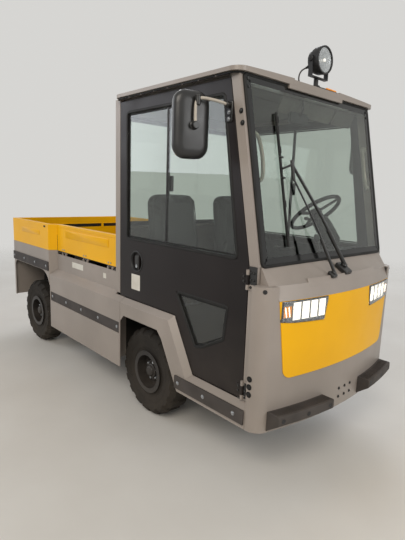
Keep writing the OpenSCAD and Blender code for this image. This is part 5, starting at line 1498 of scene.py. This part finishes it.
class TUG_OT_deck(Operator):
    """Rails, panels and lashing rings of the deck, and the fittings of the rear panel and springs"""

    bl_idname = "tug.deck"
    bl_label = "Deck and rear fittings"

    cap = [(0, 0), (34, 0), (34, 6), (27, 9), (27, 22), (29, 24), (29, 30), (24, 33), (0, 34)]
    eye = [(0, -34), (20, -34), (22, -30), (22, 30), (20, 34), (0, 34)]
    # The line of a U-bolt: distance from the spring's middle, and height
    clamp = ((-30, 395), (-30, 262), (-22, 240), (0, 234), (22, 240), (30, 262), (30, 395))

    def execute(self, context):
        rear, tail = across_plane(REAR_X), across_plane(REAR_X + 40)
        panels, shade_sheets = [], []
        for side, word in SIDES.items():
            wall, body = side_plane(side, DECK_Y), side_plane(side, HALF_W)
            # A rail folded along the board's top edge, and a pressed panel
            add(
                "board_rails_" + word,
                "signal_yellow",
                (slab, oblong(-1354, -360, 1160, 1181.5, 3), wall, -42, 2.6, 1.5),
                (slab, oblong(-1195, -493, 1080, 1144, 5), wall, -0.5, 4, 3.5),
                body="side_board_" + word,
            )
            # The rear boards' pressed panels; the drain holes, the gap at each side board's end and the slot along the
            # tailboard are thin black sheets of painted shade on closed panels
            gap = [(-1369, 957), (-1357.6, 957), (-1357.6, 1092), (-1362, 1092)]
            panels.append((slab, oblong(-2016, -1594, 1066, 1114, 5), body, -0.5, 3, 2.6))
            panels.append((slab, oblong(side * 316, side * 346, 1058, 1108, 4), tail, 0, 4, 2))
            shade_sheets.append((slab, oblong(-1502, -1460, 1148, 1164, 3), body, -0.5, 0.5, 0.2))
            shade_sheets.append((slab, gap, wall, -0.5, 1, 0.2))
        panels.append((slab, oblong(-590, 590, 1104, 1112, 3), tail, -0.5, 4, 2))
        shade_sheets.append((slab, oblong(-590, 590, 1070, 1104, 6), tail, -0.5, 1, 0.3))
        add("rear_board_panels", "signal_yellow", *panels)
        # Painted shade: these black sheets stand in for the dark of the holes, the gap and the slot, in the rubber's
        # finish
        add("rear_board_painted_shade", "seal_rubber", *shade_sheets)
        # Lashing rings, folded down on the plate
        rings = []
        for x, y in ((-1250, -430), (-1250, 430), (-480, -430), (-480, 430)):
            turns = [2 * pi * k / 20 for k in range(21)]
            ring = [at(x + 20 + 22 * cos(a), y + 22 * sin(a), DECK_TOP + 9) for a in turns]
            rings.append((slab, oblong(x - 30, x + 30, y - 24, y + 24, 8), at, DECK_TOP, DECK_TOP + 4, 1.2))
            rings.append((tube, ring, 4, 8))
            rings.append((rod, at(x - 2, y - 14, DECK_TOP + 8), at(x - 2, y + 14, DECK_TOP + 8), 6))
        add("lashing_rings", "pin_steel", *rings)
        heads = [(x, y) for x in (-1330, -1090, -856, -620, -380) for y in (-510, 510)]
        heads += [(x, y) for x in (-2190, -1900, -1600) for y in (-560, 560)]
        heads = [(at(x, y, DECK_TOP + 0.2), UP) for x, y in heads]
        repeat("deck_bolts", "bolt", "pin_steel", heads, (0.007, 0.002, 0.01, 16))

        # Rear panel: rubber buffers, a blank plate with its frame, a capped socket and louvres
        buffers = [(slab, oblong(y - 90, y + 90, 615, 685, 14), rear, 0.5, -26, 9) for y in (-470, 470)]
        add("rear_buffers", "strip_rubber", *buffers)
        add("blank_plate", "label_vinyl", (slab, oblong(-260, 260, 700, 812, 8), rear, 0.5, -3, 1))
        add(
            "plate_frame_and_socket",
            "black_moulding",
            (band, oblong(-266, 266, 694, 818, 10), 9, rear, 0, -7, 2),
            (turned, self.cap, at(REAR_X, 210, 585), BACK, 32),
            (slab, oblong(170, 250, 545, 625, 10), rear, 0.5, -6, 2),
        )
        gap = context.scene.tug_deck.slat_gap / MM
        slats = [(at(REAR_X - 1.5, 0, 838 + k * gap), BACK) for k in range(6)]
        repeat("rear_louvres", "bar", "satin_black", slats, (0.008, 0.42, 0.005), slot="chassis_black")
        # Plate around the towing jaw, and the pin's keeper chain
        add("jaw_backing", "chassis_black", (slab, oblong(-104, 104, 276, 524, 14), rear, -2, -14, 3))
        chain = []
        links = smooth_line([at(-2276, 70, 500), at(-2296, 84, 452), at(-2306, 86, 470), at(-2292, 60, 500)], 5)
        turns = [2 * pi * i / 10 for i in range(11)]
        for k, (a, b) in enumerate(zip(links, links[1:])):
            centre, along = (a + b) / 2, (b - a).normalized()
            flat = along.orthogonal().normalized()
            flat = flat if k % 2 else along.cross(flat)
            chain.append((tube, [centre + along * 0.008 * cos(t) + flat * 0.0045 * sin(t) for t in turns], 1.3, 6))
        add("keeper_chain", "pin_steel", *chain)

        # Underneath: U-bolts over the axle, their plates and the spring eyes
        springs, nuts = [], []
        for side in SIDES:
            y = side * 320
            for x in (-1910, -1830):
                loop = smooth_line([at(x, y + side * u, z) for u, z in self.clamp], 4)
                springs.append((tube, loop, 6, 10))
            springs.append((slab, oblong(-1930, -1810, y - 38, y + 38, 8), at, 400, 410, 2))
            springs += [(turned, self.eye, at(x, y, 400), Vector((0, 1, 0))) for x in (-2160, -1580)]
        add("spring_clamps", "chassis_black", *springs)
        nuts = [(at(x, side * 320 + dy, 410), UP) for x in (-1910, -1830) for side in SIDES for dy in (-30, 30)]
        repeat("spring_nuts", "bolt", "pin_steel", nuts, (0.009, 0.009, 0.012))
        return {"FINISHED"}


class TUG_PT_sidebar(Panel):
    """The tug's pieces"""

    bl_idname = "TUG_PT_sidebar"
    bl_label = "Tug"
    bl_space_type = "VIEW_3D"
    bl_region_type = "UI"
    bl_category = "Tug"

    def draw(self, context):
        for operator in OPERATORS:
            self.layout.operator(operator.bl_idname)


OPERATORS = [
    TUG_OT_stage,
    TUG_OT_cable,
    TUG_OT_panels,
    TUG_OT_glazing,
    TUG_OT_doors,
    TUG_OT_lamps,
    TUG_OT_mirrors,
    TUG_OT_front,
    TUG_OT_wheels,
    TUG_OT_fasteners,
    TUG_OT_cab,
    TUG_OT_seats,
    TUG_OT_deck,
]
GROUPS = {
    "tug_stage": TUG_PG_stage,
    "tug_light": TUG_PG_light,
    "tug_panels": TUG_PG_panels,
    "tug_glazing": TUG_PG_glazing,
    "tug_doors": TUG_PG_doors,
    "tug_lamps": TUG_PG_lamps,
    "tug_mirrors": TUG_PG_mirrors,
    "tug_front": TUG_PG_front,
    "tug_wheels": TUG_PG_wheels,
    "tug_cab": TUG_PG_cab,
    "tug_seats": TUG_PG_seats,
    "tug_deck": TUG_PG_deck,
}


def register():
    for group in GROUPS.values():
        bpy.utils.register_class(group)
    for operator in OPERATORS:
        bpy.utils.register_class(operator)
    bpy.utils.register_class(TUG_PT_sidebar)
    for name, group in GROUPS.items():
        setattr(bpy.types.Scene, name, PointerProperty(type=group))


def unregister():
    for name in GROUPS:
        delattr(bpy.types.Scene, name)
    bpy.utils.unregister_class(TUG_PT_sidebar)
    for operator in reversed(OPERATORS):
        bpy.utils.unregister_class(operator)
    for group in reversed(list(GROUPS.values())):
        bpy.utils.unregister_class(group)


def main():
    register()
    for operator in OPERATORS:
        group, name = operator.bl_idname.split(".")
        getattr(getattr(bpy.ops, group), name)()
    bpy.context.view_layer.update()


if __name__ == "__main__":
    main()
